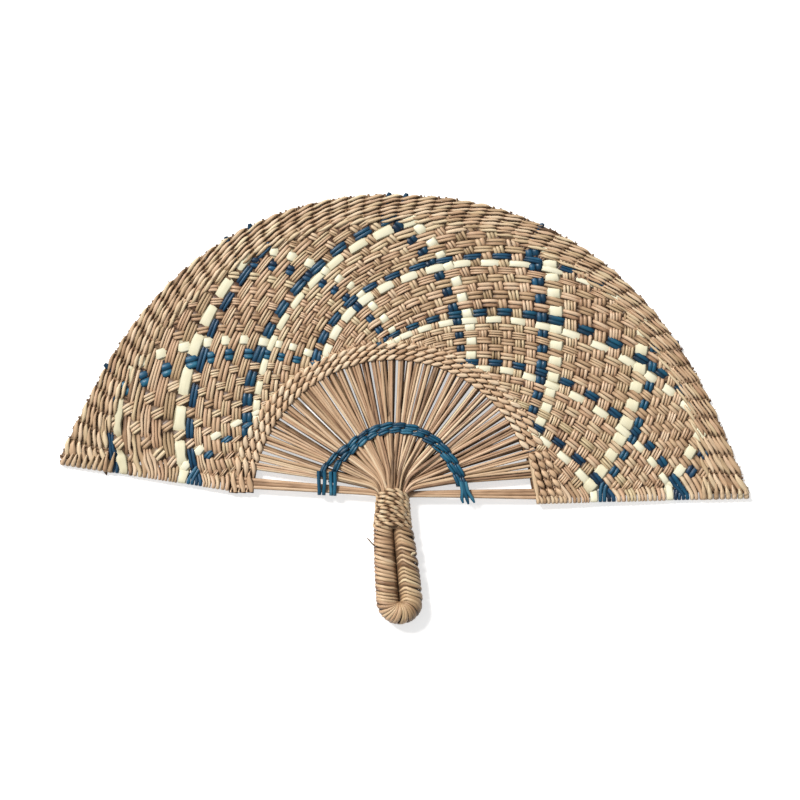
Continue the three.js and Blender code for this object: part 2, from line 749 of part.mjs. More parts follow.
// Cord wound round an axis. At each step it lies on the oval whose halves halvesOf gives, and it
// is as wide as the room to the turns beside it allows. Between its first and last place on the
// axis, bendGain opens the pitch in the middle and closes it at the ends. Both ends run straight.
function winding(name, { axis, halvesOf, turns, firstShare, bendGain }) {
  const steps = turns * TURN_STEPS;
  const shareAt = (step) => {
    const progress = clamp(step / steps, 0, 1);
    const eased = progress - (bendGain * Math.sin(2 * Math.PI * progress)) / (2 * Math.PI);
    return lerp(firstShare, 1 - firstShare, eased);
  };
  const place = (step, extra) => {
    const share = shareAt(step);
    const turn = Math.PI + (2 * Math.PI * step) / TURN_STEPS;
    const [halfAcross, halfUp] = halvesOf(share);
    return axis.getPointAt(share)
      .addScaledVector(sideways(axis, share), (cordReach(halfAcross) + extra) * Math.cos(turn))
      .addScaledVector(UP, (cordReach(halfUp) + extra) * Math.sin(turn));
  };
  const roomBetween = (step, next) => {
    const isWhole = step >= 0 && next <= steps;
    return isWhole ? place(step, CORD_THICKNESS / 2).distanceTo(place(next, CORD_THICKNESS / 2)) : Infinity;
  };
  const rings = Array.from({ length: steps + 1 }, (_, step) => {
    const room = Math.min(roomBetween(step, step + TURN_STEPS), roomBetween(step - TURN_STEPS, step));
    const halfWidth = Math.min((room - CORD_GAP) / 2, CORD_WIDTH / 2);
    const centre = place(step, 0);
    const outward = place(step, 1).sub(centre).normalize();
    return ovalRing(centre, axis.getTangentAt(shareAt(step)), outward, halfWidth, CORD_THICKNESS / 2, 6);
  });
  const straightEnd = (step, inner) => {
    const run = place(step, 0).sub(place(inner, 0)).setLength(CORD_THICKNESS);
    return rings[step].map((point) => point.clone().add(run));
  };
  const wholeCord = [straightEnd(0, 1), ...rings, straightEnd(steps, steps - 1)];
  console.log(`${name}: least gap to itself ${leastGap(wholeCord, TURN_STEPS).toFixed(2)} mm`);
  return loft(wholeCord);
}

addPiece("loop_wrap", winding("loop_wrap", {
  axis: loopCurve,
  halvesOf: (share) => [loopHalfThickness(share), loopHalfThickness(share)],
  turns: LOOP_TURNS,
  firstShare: LOOP_WRAP_START,
  bendGain: BEND_PITCH_GAIN,
}), CORD_STRAW);

addPiece("neck_binding", winding("neck_binding", {
  axis: new THREE.LineCurve3(neckTop, neckFoot),
  halvesOf: (share) => [neckHalfWidth(share), NECK_THICKNESS / 2],
  turns: NECK_TURNS,
  firstShare: 0.5 / NECK_TURNS,
  bendGain: 0,
}), CORD_STRAW);

// Stand the fan on its underside, with the middle of its plan over the origin.
const box = new THREE.Box3().setFromObject(fan, true);
const middle = box.getCenter(new THREE.Vector3());
fan.position.set(-middle.x, -middle.y, -box.min.z);

export default fan;
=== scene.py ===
"""Half-moon fan of woven straw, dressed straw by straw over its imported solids.

Lengths are millimetres in the fan's own plan, whose zero point is the hub where the spokes meet.
The blade spreads towards +Y and the loop handle hangs towards -Y. Lines are laid out there first,
and only lay_straws moves them to the frame, in metres.
"""

import math

import bpy
import numpy as np
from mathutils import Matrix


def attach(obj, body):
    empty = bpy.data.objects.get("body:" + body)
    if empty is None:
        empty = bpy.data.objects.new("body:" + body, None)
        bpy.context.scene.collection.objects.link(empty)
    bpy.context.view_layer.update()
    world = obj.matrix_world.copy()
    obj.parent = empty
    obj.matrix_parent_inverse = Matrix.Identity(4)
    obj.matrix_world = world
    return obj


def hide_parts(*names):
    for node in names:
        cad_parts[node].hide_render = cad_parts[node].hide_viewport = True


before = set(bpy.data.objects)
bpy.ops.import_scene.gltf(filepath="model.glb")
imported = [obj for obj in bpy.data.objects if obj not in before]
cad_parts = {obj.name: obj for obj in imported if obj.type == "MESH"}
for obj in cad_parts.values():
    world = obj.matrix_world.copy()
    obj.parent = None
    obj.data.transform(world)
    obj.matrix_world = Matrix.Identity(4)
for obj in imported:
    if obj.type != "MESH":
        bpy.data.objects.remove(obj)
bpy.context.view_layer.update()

MM = 0.001
HUB = np.array([-5.782, -46.323, 0.0])  # the hub's place in the frame
UP = np.array([0.0, 0.0, 1.0])
rng = np.random.default_rng(7)


def rad(degrees):
    return np.radians(degrees)


def lerp(a, b, t):
    return a + (b - a) * t


def unit(vectors):
    return vectors / np.linalg.norm(vectors, axis=-1, keepdims=True)


def drawn(middle, spread, low=0.0, high=1.0):
    """Random number round a middle, kept within bounds"""
    return float(np.clip(rng.normal(middle, spread), low, high))


def put(name, data):
    made = bpy.data.objects.new(name, data)
    bpy.context.scene.collection.objects.link(made)
    return made


# Camera, straight above the fan and turned so that the fan lies as it does in the photograph

camera_data = bpy.data.cameras.new("camera")
camera_data.lens = 100
camera_data.sensor_width = 36
camera = put("camera", camera_data)
camera.location = (-0.00433, 0.00576, 1.2857)
camera.rotation_euler = (0, 0, math.radians(2.85))
bpy.context.scene.camera = camera


# Outline of the blade, with the sizes of the part's source. Angles are directions from the hub.

RIM_ROWS, RIM_RADIUS_TOP = 7, 170
RIM_RADII, RIM_EVEN_GROWTH = (206.0, 194.5), (0.62, 0.45)  # at the right corner and at the left one
RIM_EVEN_POWER, RIM_CORNER_POWER = 1.2, 8
RIM_CORNER_ANGLE = 1.75
PAST_CORNER = 1.15  # how far past a corner the outline is followed
RIM_WIDTH_TOP, RIM_NARROWING, RIM_WIDENING, RIM_WIDENING_POWER = 15.2, 3.0, 14.0, 10
# On the left the rim is narrower than the solids' just before the corner, where a blue strand shows.
RIM_WIDTHS_LEFT = ([0, 0.38, 0.7, 0.86, 0.91, 0.96, 1.0, 1.15], [15.2, 17, 17.2, 17, 18.8, 23, 29, 34])
BAND_ROWS = 3
BAND_RADIUS_TOP, BAND_RADIUS_SIDE = 75, 80
BAND_PITCH_TOP, BAND_PITCH_SIDE, BAND_WIDENING_POWER = 3.2, 4.5, 1.5
PANEL_GAP = 0.55
RIM_HEIGHT = 2.1
LEG_HALF_TOP, LEG_HALF_LOOP = 3.3, 4.7
CORD_MIDDLE, CORD_HALF = 1.0, 0.7


def cord_outer(core_half):
    """From the middle of a leg to the outside of the solids' cord, which goes round in twelve steps"""
    return (core_half + CORD_MIDDLE) / math.cos(rad(15)) + CORD_HALF


HANDLE_HEIGHT = cord_outer(LEG_HALF_LOOP)


def towards_side(angle):
    """0 at the top of the blade, 1 at the rim's corners"""
    return np.minimum(np.abs(angle - np.pi / 2) / rad(90 - RIM_CORNER_ANGLE), PAST_CORNER)


def rim_radius(angle):
    side = towards_side(angle)
    is_right = angle < np.pi / 2
    reach, even = np.where(is_right, *RIM_RADII), np.where(is_right, *RIM_EVEN_GROWTH)
    growth = even * side ** RIM_EVEN_POWER + (1 - even) * side ** RIM_CORNER_POWER
    return RIM_RADIUS_TOP + (reach - RIM_RADIUS_TOP) * growth


def rim_width(angle):
    side = towards_side(angle)
    on_right = RIM_WIDTH_TOP - RIM_NARROWING * side + RIM_WIDENING * side ** RIM_WIDENING_POWER
    return np.where(angle < np.pi / 2, on_right, np.interp(side, *RIM_WIDTHS_LEFT))


def band_pitch(angle):
    return lerp(BAND_PITCH_TOP, BAND_PITCH_SIDE, towards_side(angle) ** BAND_WIDENING_POWER)


def band_inner(angle):
    return lerp(BAND_RADIUS_TOP, BAND_RADIUS_SIDE, towards_side(angle) ** 2)


def panel_inner(angle):
    return band_inner(angle) + BAND_ROWS * band_pitch(angle) + PANEL_GAP


def panel_outer(angle):
    return rim_radius(angle) - rim_width(angle)


def blade_height(radius, angle):
    """Height of the blade's middle surface, which falls evenly from the hub to the rim"""
    return lerp(HANDLE_HEIGHT, RIM_HEIGHT, np.minimum(1, radius / panel_outer(angle)))


def polar(radius, angle, height=0.0):
    radius, angle, height = np.broadcast_arrays(radius, angle, height)
    return np.stack([radius * np.cos(angle), radius * np.sin(angle), height], -1).astype(float)


def on_blade(radius, angle, rise=0.0):
    return polar(radius, angle, blade_height(radius, angle) + rise)


def to_polar(points):
    """Radius and direction of points, with directions from -90 to 270 degrees"""
    x, y = np.asarray(points)[..., 0], np.asarray(points)[..., 1]
    angle = np.arctan2(y, x)
    return np.hypot(x, y), np.where(angle < -np.pi / 2, angle + 2 * np.pi, angle)


class Edge:
    """One of the two straight lower edges, which pass below the hub. side is 1 right and -1 left."""

    def __init__(self, side, tilt, drop):
        self.side, self.tilt, self.drop = side, rad(tilt), drop
        self.along = np.array([side * math.cos(self.tilt), math.sin(self.tilt), 0.0])
        self.inward = np.array([-side * self.along[1], side * self.along[0], 0.0])

    def direction(self, radius):
        """Direction from the hub in which the edge lies at a radius"""
        dip = np.arcsin(self.drop / radius)
        return self.tilt - dip if self.side > 0 else np.pi - self.tilt + dip

    def above(self, points):
        return np.asarray(points)[..., :2] @ self.inward[:2] + self.drop

    def far(self, points):
        return np.asarray(points)[..., :2] @ self.along[:2]

    def place(self, far, above, height):
        """Points so far along the edge and so far into the blade from it"""
        far, above, height = (np.asarray(value, float)[..., None] for value in (far, above, height))
        return far * self.along + (above - self.drop) * self.inward + height * UP


RIGHT_EDGE = Edge(1, 4.3, 9.4)
LEFT_EDGE = Edge(-1, 5.9, 14.1)


def above_edges(points):
    return np.minimum(RIGHT_EDGE.above(points), LEFT_EDGE.above(points))


def blade_angle(share, radius_of):
    """Direction at a share of the way from the right lower edge to the left one"""
    angle = np.pi * np.asarray(share, float)
    for _ in range(6):
        radius = radius_of(angle)
        angle = lerp(RIGHT_EDGE.direction(radius), LEFT_EDGE.direction(radius), share)
    return angle


# Finishes. Every straw carries five values on its mesh: run, the distance along it in millimetres,
# across, from -1 to 1 over its width, tone, from dark to pale, which also carries painted shade,
# hue, from pink to green, and seed.


def linear(red, green, blue):
    """Colour from 0-255 screen values to the linear values that a shader takes"""
    values = [channel / 255 for channel in (red, green, blue)]
    return [v / 12.92 if v <= 0.04045 else ((v + 0.055) / 1.055) ** 2.4 for v in values] + [1.0]


class Nodes:
    """Small builder for one tree of nodes, whose inputs are values or other nodes' sockets"""

    def __init__(self, tree):
        self.tree = tree

    def add(self, kind, inputs=None, **settings):
        node = self.tree.nodes.new(kind)
        for name, value in settings.items():
            setattr(node, name, value)
        self.feed(node, inputs or {})
        return node

    def feed(self, node, inputs):
        for socket, value in inputs.items():
            if isinstance(value, bpy.types.NodeSocket):
                self.tree.links.new(value, node.inputs[socket])
            else:
                node.inputs[socket].default_value = value

    def math(self, operation, first, second, clamp=False):
        node = self.add("ShaderNodeMath", {0: first, 1: second}, operation=operation, use_clamp=clamp)
        return node.outputs[0]


class Finish(Nodes):
    """Builder for one material"""

    def __init__(self, name):
        self.material = bpy.data.materials.new(name)
        self.material.use_nodes = True
        super().__init__(self.material.node_tree)

    def surface(self, inputs):
        self.feed(self.tree.nodes["Principled BSDF"], inputs)

    def read(self, name):
        return self.add("ShaderNodeAttribute", attribute_name=name).outputs["Fac"]

    def remap(self, value, low, high, new_low, new_high):
        inputs = {"Value": value, "From Min": low, "From Max": high, "To Min": new_low, "To Max": new_high}
        return self.add("ShaderNodeMapRange", inputs).outputs["Result"]

    def vector(self, x, y, z):
        return self.add("ShaderNodeCombineXYZ", {0: x, 1: y, 2: z}).outputs[0]

    def noise(self, vector, scale, detail=2.0, roughness=0.5):
        inputs = {"Vector": vector, "Scale": scale, "Detail": detail, "Roughness": roughness}
        return self.add("ShaderNodeTexNoise", inputs).outputs["Fac"]

    def swing(self, noise, amount):
        """Noise moved to swing round zero"""
        return self.math("MULTIPLY", self.math("SUBTRACT", noise, 0.5), amount)

    def ramp(self, value, stops, colours):
        node = self.add("ShaderNodeValToRGB", {"Fac": value})
        points = node.color_ramp.elements
        while len(points) < len(stops):
            points.new(0.5)
        for point, place, colour in zip(points, stops, colours):
            point.position = place
            point.color = linear(*colour)
        return node.outputs["Color"]

    def mix(self, factor, first, second, blend="MIX"):
        inputs = {0: factor, 6: first, 7: second}
        settings = {"data_type": "RGBA", "blend_type": blend, "clamp_factor": True}
        return self.add("ShaderNodeMix", inputs, **settings).outputs[2]

    def darken(self, colour, light):
        return self.mix(1.0, colour, self.vector(light, light, light), "MULTIPLY")


def straw_finish(name, pink, green, stops=(0, 0.3, 0.6, 1), roughness=0.46, streak=0.26, bump=0.5,
                 painted_edge_shade=0.42):
    """Dried straw: long fibres along the run, darker nodes and stains, painted shade at the rolled edges"""
    finish = Finish(name)
    run, across, tone, hue, seed = (finish.read(label) for label in ("run", "across", "tone", "hue", "seed"))

    def times(value, factor):
        return finish.math("MULTIPLY", value, factor)

    fibres = finish.noise(finish.vector(times(run, 0.09), times(across, 2.6), seed), 1.0, 3.0, 0.6)
    stains = finish.noise(finish.vector(times(run, 0.16), seed, across), 0.8)
    patches = finish.noise(finish.add("ShaderNodeTexCoord").outputs["Object"], 55.0)
    shade = finish.math("ADD", tone, finish.swing(stains, 0.55))
    shade = finish.math("ADD", shade, finish.swing(patches, 0.35), clamp=True)
    colour = finish.mix(hue, finish.ramp(shade, stops, pink), finish.ramp(shade, stops, green))
    colour = finish.darken(colour, finish.remap(fibres, 0.3, 0.7, 1 - streak, 1 + streak * 0.45))
    # Painted shade: each straw darkens towards its rolled edges.
    colour = finish.darken(colour, finish.remap(times(across, across), 0.22, 1.0, 1.0, painted_edge_shade))
    relief = finish.add("ShaderNodeBump", {"Height": fibres, "Strength": bump, "Distance": 0.0004})
    finish.surface({"Base Color": colour, "Normal": relief.outputs["Normal"],
                    "Roughness": finish.remap(fibres, 0.3, 0.7, roughness + 0.1, roughness - 0.08)})
    return finish.material


# Colours from dark to pale, in screen values
NATURAL_PINK = [(92, 62, 44), (184, 146, 114), (218, 180, 146), (244, 216, 184)]
NATURAL_GREEN = [(92, 72, 50), (180, 154, 116), (212, 188, 148), (240, 222, 182)]
PALE_PINK = [(112, 78, 54), (206, 168, 132), (236, 202, 166), (250, 230, 200)]
PALE_GREEN = [(112, 86, 56), (202, 174, 132), (232, 208, 166), (250, 234, 198)]
CORD_PINK = [(118, 82, 56), (204, 166, 130), (230, 196, 158), (250, 226, 192)]
CORD_GREEN = [(112, 88, 58), (196, 170, 128), (224, 202, 158), (246, 230, 190)]
CREAM = [(180, 166, 132), (236, 228, 194), (248, 243, 212), (253, 250, 226)]
TEAL = [(8, 30, 50), (16, 76, 104), (28, 108, 138), (96, 164, 186)]
NAVY = [(12, 20, 42), (22, 52, 86), (36, 82, 120), (92, 136, 168)]
DYED_STOPS = (0, 0.35, 0.7, 1)

natural_straw = straw_finish("natural_straw", NATURAL_PINK, NATURAL_GREEN)
pale_straw = straw_finish("pale_straw", PALE_PINK, PALE_GREEN)
cord_straw = straw_finish("cord_straw", CORD_PINK, CORD_GREEN, streak=0.34, bump=0.8, painted_edge_shade=0.28)
cream_straw = straw_finish("cream_straw", CREAM, CREAM, DYED_STOPS, roughness=0.42, streak=0.06, bump=0.12,
                           painted_edge_shade=0.78)
blue_straw = straw_finish("blue_straw", TEAL, NAVY, DYED_STOPS, roughness=0.42, painted_edge_shade=0.62)


# Straws. A straw is a line of points, each with the way its flat side faces, half its width and
# thickness there, its tone and its hue.


def straw(centre, facing, half_width, half_thickness, tone, hue=None):
    centre = np.asarray(centre, float)
    values = {"half_width": half_width, "half_thickness": half_thickness, "tone": tone,
              "hue": drawn(0.4, 0.28) if hue is None else hue}
    item = {label: np.broadcast_to(np.asarray(value, float), len(centre)) for label, value in values.items()}
    return {"centre": centre, "facing": np.broadcast_to(facing, centre.shape), **item}


def straw_tree():
    """Geometry nodes that turn each line of points into a flattened tube with closed ends"""
    tree = bpy.data.node_groups.new("straw along its line", "GeometryNodeTree")
    _, sides, material, _ = (
        tree.interface.new_socket(name, in_out=way, socket_type="NodeSocket" + kind)
        for name, way, kind in (("Lines", "INPUT", "Geometry"), ("Sides", "INPUT", "Int"),
                                ("Material", "INPUT", "Material"), ("Straws", "OUTPUT", "Geometry")))
    nodes = Nodes(tree)

    def add(kind, inputs=None, **settings):
        return nodes.add(kind, inputs, **settings).outputs[0]

    def read(name, kind="FLOAT"):
        return add("GeometryNodeInputNamedAttribute", {"Name": name}, data_type=kind)

    def store(geometry, name, kind, value):
        inputs = {"Geometry": geometry, "Name": name, "Value": value}
        return add("GeometryNodeStoreNamedAttribute", inputs, data_type=kind, domain="POINT")

    def vector(operation, *values):
        node = nodes.add("ShaderNodeVectorMath", dict(enumerate(values)), operation=operation)
        return node.outputs["Value" if operation == "DOT_PRODUCT" else "Vector"]

    def scaled(direction, size):
        return add("ShaderNodeVectorMath", {0: direction, "Scale": size}, operation="SCALE")

    source = nodes.add("NodeGroupInput").outputs
    place, facing = add("GeometryNodeInputPosition"), read("facing", "FLOAT_VECTOR")
    curve = add("GeometryNodeMeshToCurve", {"Mesh": source["Lines"]})
    curve = add("GeometryNodeSetCurveNormal", {"Curve": curve, "Normal": facing}, mode="FREE")
    curve = store(curve, "middle", "FLOAT_VECTOR", place)
    curve = store(curve, "along", "FLOAT_VECTOR", add("GeometryNodeInputTangent"))
    ring = add("GeometryNodeCurvePrimitiveCircle", {"Resolution": source["Sides"], "Radius": 1.0})
    tubes = add("GeometryNodeCurveToMesh", {"Curve": curve, "Profile Curve": ring, "Fill Caps": True})
    middle, along = read("middle", "FLOAT_VECTOR"), read("along", "FLOAT_VECTOR")
    lean = scaled(along, vector("DOT_PRODUCT", facing, along))
    normal = vector("NORMALIZE", vector("SUBTRACT", facing, lean))
    sideways = vector("CROSS_PRODUCT", along, normal)
    offset = vector("SUBTRACT", place, middle)
    across = vector("DOT_PRODUCT", offset, sideways)
    through = vector("DOT_PRODUCT", offset, normal)
    tubes = store(tubes, "across", "FLOAT", across)
    reach = scaled(sideways, nodes.math("MULTIPLY", across, read("half_width")))
    depth = scaled(normal, nodes.math("MULTIPLY", through, read("half_thickness")))
    corner = vector("ADD", middle, vector("ADD", reach, depth))
    tubes = add("GeometryNodeSetPosition", {"Geometry": tubes, "Position": corner})
    tubes = add("GeometryNodeSetShadeSmooth", {"Geometry": tubes})
    tubes = add("GeometryNodeSetMaterial", {"Geometry": tubes, "Material": source["Material"]})
    nodes.add("NodeGroupOutput", {"Straws": tubes})
    return tree, sides.identifier, material.identifier


STRAW_TREE, SIDES_INPUT, MATERIAL_INPUT = straw_tree()
FLOOR_GAP = 0.02


def run_along(points):
    """Distance of each point of a line from its start"""
    return np.concatenate([[0], np.cumsum(np.linalg.norm(np.diff(points, axis=0), axis=1))])


def lay_straws(name, straws, nodes=(), material=natural_straw, sides=6):
    """Make one piece of many straws, in place of the named CAD nodes."""
    def joined(label):
        return np.concatenate([item[label] for item in straws])

    counts = [len(item["centre"]) for item in straws]
    ends = np.cumsum(counts)
    edges = [(point, point + 1) for start, end in zip(ends - counts, ends) for point in range(start, end - 1)]
    middle, half_thickness = joined("centre") + HUB, joined("half_thickness")
    # Nothing reaches below the surface that the fan lies on.
    middle[:, 2] = np.maximum(middle[:, 2], half_thickness + FLOOR_GAP)
    mesh = bpy.data.meshes.new(name)
    mesh.from_pydata((middle * MM).tolist(), edges, [])

    def give(label, values, kind="FLOAT"):
        attribute = mesh.attributes.new(label, kind, "POINT")
        field = "vector" if kind == "FLOAT_VECTOR" else "value"
        attribute.data.foreach_set(field, np.ravel(values).astype(np.float32))

    give("facing", joined("facing"), "FLOAT_VECTOR")
    give("half_width", joined("half_width") * MM)
    give("half_thickness", half_thickness * MM)
    give("run", np.concatenate([run_along(item["centre"]) + rng.uniform(0, 400) for item in straws]))
    give("tone", joined("tone"))
    give("hue", joined("hue"))
    give("seed", np.repeat(rng.uniform(0, 60, len(straws)), counts))

    piece = put(name, mesh)
    modifier = piece.modifiers.new("straws", "NODES")
    modifier.node_group = STRAW_TREE
    modifier[SIDES_INPUT] = sides
    modifier[MATERIAL_INPUT] = material
    made = bpy.data.meshes.new_from_object(piece.evaluated_get(bpy.context.evaluated_depsgraph_get()))
    piece.modifiers.remove(modifier)
    piece.data = made
    made.name = name
    for label in ("facing", "half_width", "half_thickness", "middle", "along"):
        made.attributes.remove(made.attributes[label])
    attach(piece, "root")
    if nodes:
        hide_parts(*nodes)


def wander(count, size, step=6):
    """Smooth random drift along a line of so many points"""
    knots = rng.normal(0, size, max(2, count // step + 2))
    return np.interp(np.linspace(0, len(knots) - 1, count), np.arange(len(knots)), knots)


def interp_points(where, known, points):
    """np.interp for the points of a line"""
    return np.stack([np.interp(where, known, column) for column in np.asarray(points).T], -1)


def bent_line(points, count):
    """Smooth line through a few points"""
    distance = run_along(points)
    line = interp_points(np.linspace(0, distance[-1], count), distance, points)
    for _ in range(3):
        line[1:-1] = (line[:-2] + 2 * line[1:-1] + line[2:]) / 4
    return line


def beside(line):
    """Level direction square to a line, at each of its points"""
    return unit(np.cross(UP, np.gradient(line, axis=0)))


def loose_straw(points, half_width, half_thickness, tone, hue=None, count=16):
    """Straw along a smooth line through a few points, with a blunt taper at its end"""
    taper = np.interp(np.linspace(0, 1, count), [0, 0.8, 1], [1, 1, 0.55])
    return straw(bent_line(points, count), UP, half_width * taper, half_thickness, tone, hue)


def in_range(tone):
    return np.clip(tone, 0.02, 0.98)


# Woven panel. Two families of strands slant from the band to the rim. Each guide is the direction
# of one coloured pair at the band, half-way and at the rim, and seven strands fill each step
# between guides.

LEFTWARD = [(-41, -10.2, 10.5), (-9.4, 13.1, 32.5), (27.9, 47.5, 61), (63.9, 76.4, 90.8), (92.5, 107, 123),
            (123.8, 140.8, 157.8), (155.5, 186.5, 209.5)]
RIGHTWARD = [(24.3, -8.6, -22.6), (59, 22.2, -9), (96, 54.9, 21.6), (121.5, 94.6, 50.4), (156, 122.6, 92.5),
             (209.8, 161.4, 123.8), (268, 219.5, 167)]
STRANDS_PER_GUIDE = 7
MORE_GUIDES = 2  # guides added on either side, a step apart as the last two are
OUT = np.linspace(-0.06, 1.06, 225)  # from just inside the band's edge to just past the rim's
BLADE_SPAN = (rad(-14), rad(194))
WAVE_SHARPNESS = 1.9
WEAVE_RISE = 0.66


def guide_table(guides):
    """Directions of all guides at each distance out"""
    inner, middle, outer = np.array(guides, float).T
    out = OUT[:, None]
    table = inner * (1 - out) * (1 - 2 * out) + 4 * middle * out * (1 - out) + outer * out * (2 * out - 1)
    first, last = table[:, 1] - table[:, 0], table[:, -1] - table[:, -2]
    before = [table[:, 0] - 2 * first, table[:, 0] - first]
    after = [table[:, -1] + last, table[:, -1] + 2 * last]
    return rad(np.column_stack([*before, table, *after]))


GUIDE_NUMBERS = np.arange(-MORE_GUIDES, len(LEFTWARD) + MORE_GUIDES)
LEFT_TABLE, RIGHT_TABLE = guide_table(LEFTWARD), guide_table(RIGHTWARD)


def strand_directions(table, strand):
    return np.array([np.interp(strand / STRANDS_PER_GUIDE, GUIDE_NUMBERS, row) for row in table])


def strand_number(table, directions):
    """Which strand of the other family lies at each point of a line, as a real number"""
    guides = [np.interp(angle, row, GUIDE_NUMBERS) for angle, row in zip(directions, table)]
    return np.array(guides) * STRANDS_PER_GUIDE - 0.5


def panel_place(directions):
    return on_blade(lerp(panel_inner(directions), panel_outer(directions), OUT), directions)


def panel_strand(table, other_table, strand, sign, wraps_edge, bold):
    """Line of one strand: its places, wave up and down, room to its neighbours and ends that turn down.
    A bold strand shows for longer than its neighbours between two crossings.
    A strand that doesn't wrap round the lower edge ends just above it, under the other family."""
    directions = strand_directions(table, strand + 0.5)
    places = panel_place(directions)
    within = (directions > BLADE_SPAN[0]) & (directions < BLADE_SPAN[1])
    above = above_edges(places)
    leaves = (above[within] < 1).any()
    stop = (rng.uniform(7.2, 9.6) if wraps_edge else 3.4) if leaves else 0.9
    inside = np.flatnonzero(within & (above > stop))
    if len(inside) < 8:
        return None
    chosen = max(np.split(inside, np.flatnonzero(np.diff(inside) > 1) + 1), key=len)
    number = strand_number(other_table, directions)
    turned = [wraps_edge and chosen[0] > 0, wraps_edge and chosen[-1] < len(OUT) - 1]
    if number[chosen[0]] > number[chosen[-1]]:
        turned.reverse()
    chosen = chosen[np.argsort(number[chosen])]
    # Four rings of points for each strand crossed
    first, last = number[chosen[0]], number[chosen[-1]]
    rings = np.unique(np.concatenate([[first], np.arange(math.ceil(first * 4), last * 4) / 4, [last]]))
    if len(rings) < 4:
        return None

    def pick(values):
        return np.interp(rings, number[chosen], values[chosen])

    step = panel_place(strand_directions(table, strand + 1)) - panel_place(strand_directions(table, strand))
    spacing = np.linalg.norm(np.cross(step, unit(np.gradient(places, axis=0))), axis=1)
    centre = np.stack([pick(places[:, axis]) for axis in range(3)], 1)
    # Rightward strands stay on top for longer than leftward ones, except on the right of the blade.
    longer = np.interp(centre[:, 0], [-20, 40, 90], [0.28, 0.08, -0.02])
    wave = WAVE_SHARPNESS * (sign * (np.cos(np.pi * (strand + rings)) - longer) + bold)
    wave = np.tanh(wave) / math.tanh(WAVE_SHARPNESS)
    if not wraps_edge:
        wave = np.minimum(wave, np.interp(pick(above), [6.5, 9.5], [-0.8, 1.0]))
    return {"centre": centre, "wave": wave, "spacing": pick(spacing), "turned": turned}


def colour_of_strand(strand, flipped):
    """Each guide has a cream strand on one side and a blue strand on the other."""
    guide, place = divmod(strand + 1, STRANDS_PER_GUIDE)
    if place > 1 or not 0 <= guide < len(LEFTWARD):
        return "natural"
    return "cream" if (place == 1) == (guide in flipped) else "blue"


# At the lower edges the strands turn square to the edge, wrap over it and run back a little on the
# underside.

FOLD_TURN = rad(np.array([90, 60, 30, 0, -30, -60, -90]))


def over_edge(edge, start, heading, lane, half_from, half_to, rise=0.85):
    """Rest of a straw from a point near a lower edge: plan curve down to its lane, fold and return"""
    reach = max(edge.above(start), 2.0)
    top = float(blade_height(*to_polar(edge.place(lane, 0.0, 0.0))))
    target = edge.place(lane, 1.0, top + rise)
    step = np.linspace(0, 1, 8)[1:, None]
    bulge = lerp(heading * 0.9, edge.inward * 0.75, step) * reach
    curve = lerp(start, target, step ** 2 * (3 - 2 * step)) + step * (1 - step) * bulge
    outward, upward = np.cos(FOLD_TURN[1:]), np.sin(FOLD_TURN[1:])
    fold = edge.place(lane, 0.7 - 1.05 * outward, top + rise * upward)
    below = edge.place(lane, [3.4, 6.0], [top - rise, top - rise + 0.1])
    facing = np.concatenate([np.tile(UP, (len(curve), 1)),
                             outward[:, None] * -edge.inward + upward[:, None] * UP,
                             np.tile(-UP, (len(below), 1))])
    narrowing = lerp(half_from, half_to, np.sin(step[:, 0] * np.pi / 2))
    half = np.concatenate([narrowing, np.full(len(fold) + len(below), half_to)])
    return np.concatenate([curve, fold, below]), facing, half


def ends_at_edges(lines):
    """Give every strand that turns down a lane of its own along its edge, in order."""
    exits = []
    for line in lines:
        line["lanes"] = [None, None]
        for end, index, before in ((0, 0, 2), (1, -1, -3)):
            if line["turned"][end]:
                point = line["centre"][index]
                heading = unit((point - line["centre"][before]) * [1, 1, 0])
                edge = RIGHT_EDGE if RIGHT_EDGE.above(point) < LEFT_EDGE.above(point) else LEFT_EDGE
                fall = max(0.35, float(-heading @ edge.inward))
                drift = np.clip(0.6 * edge.above(point) * float(heading @ edge.along) / fall, -5.5, 5.5)
                exits.append([float(edge.far(point) + drift), line, end, edge, heading])
    for edge in (RIGHT_EDGE, LEFT_EDGE):
        here = sorted((item for item in exits if item[3] is edge), key=lambda item: item[0])
        lanes = np.array([item[0] for item in here])
        for _ in range(6):
            lanes[1:-1] = (lanes[:-2] + 2 * lanes[1:-1] + lanes[2:]) / 4
        for (_, line, end, _, heading), lane, room in zip(here, lanes, np.gradient(lanes)):
            line["lanes"][end] = (edge, float(lane), float(np.clip(room, 3.0, 8.5)), heading)


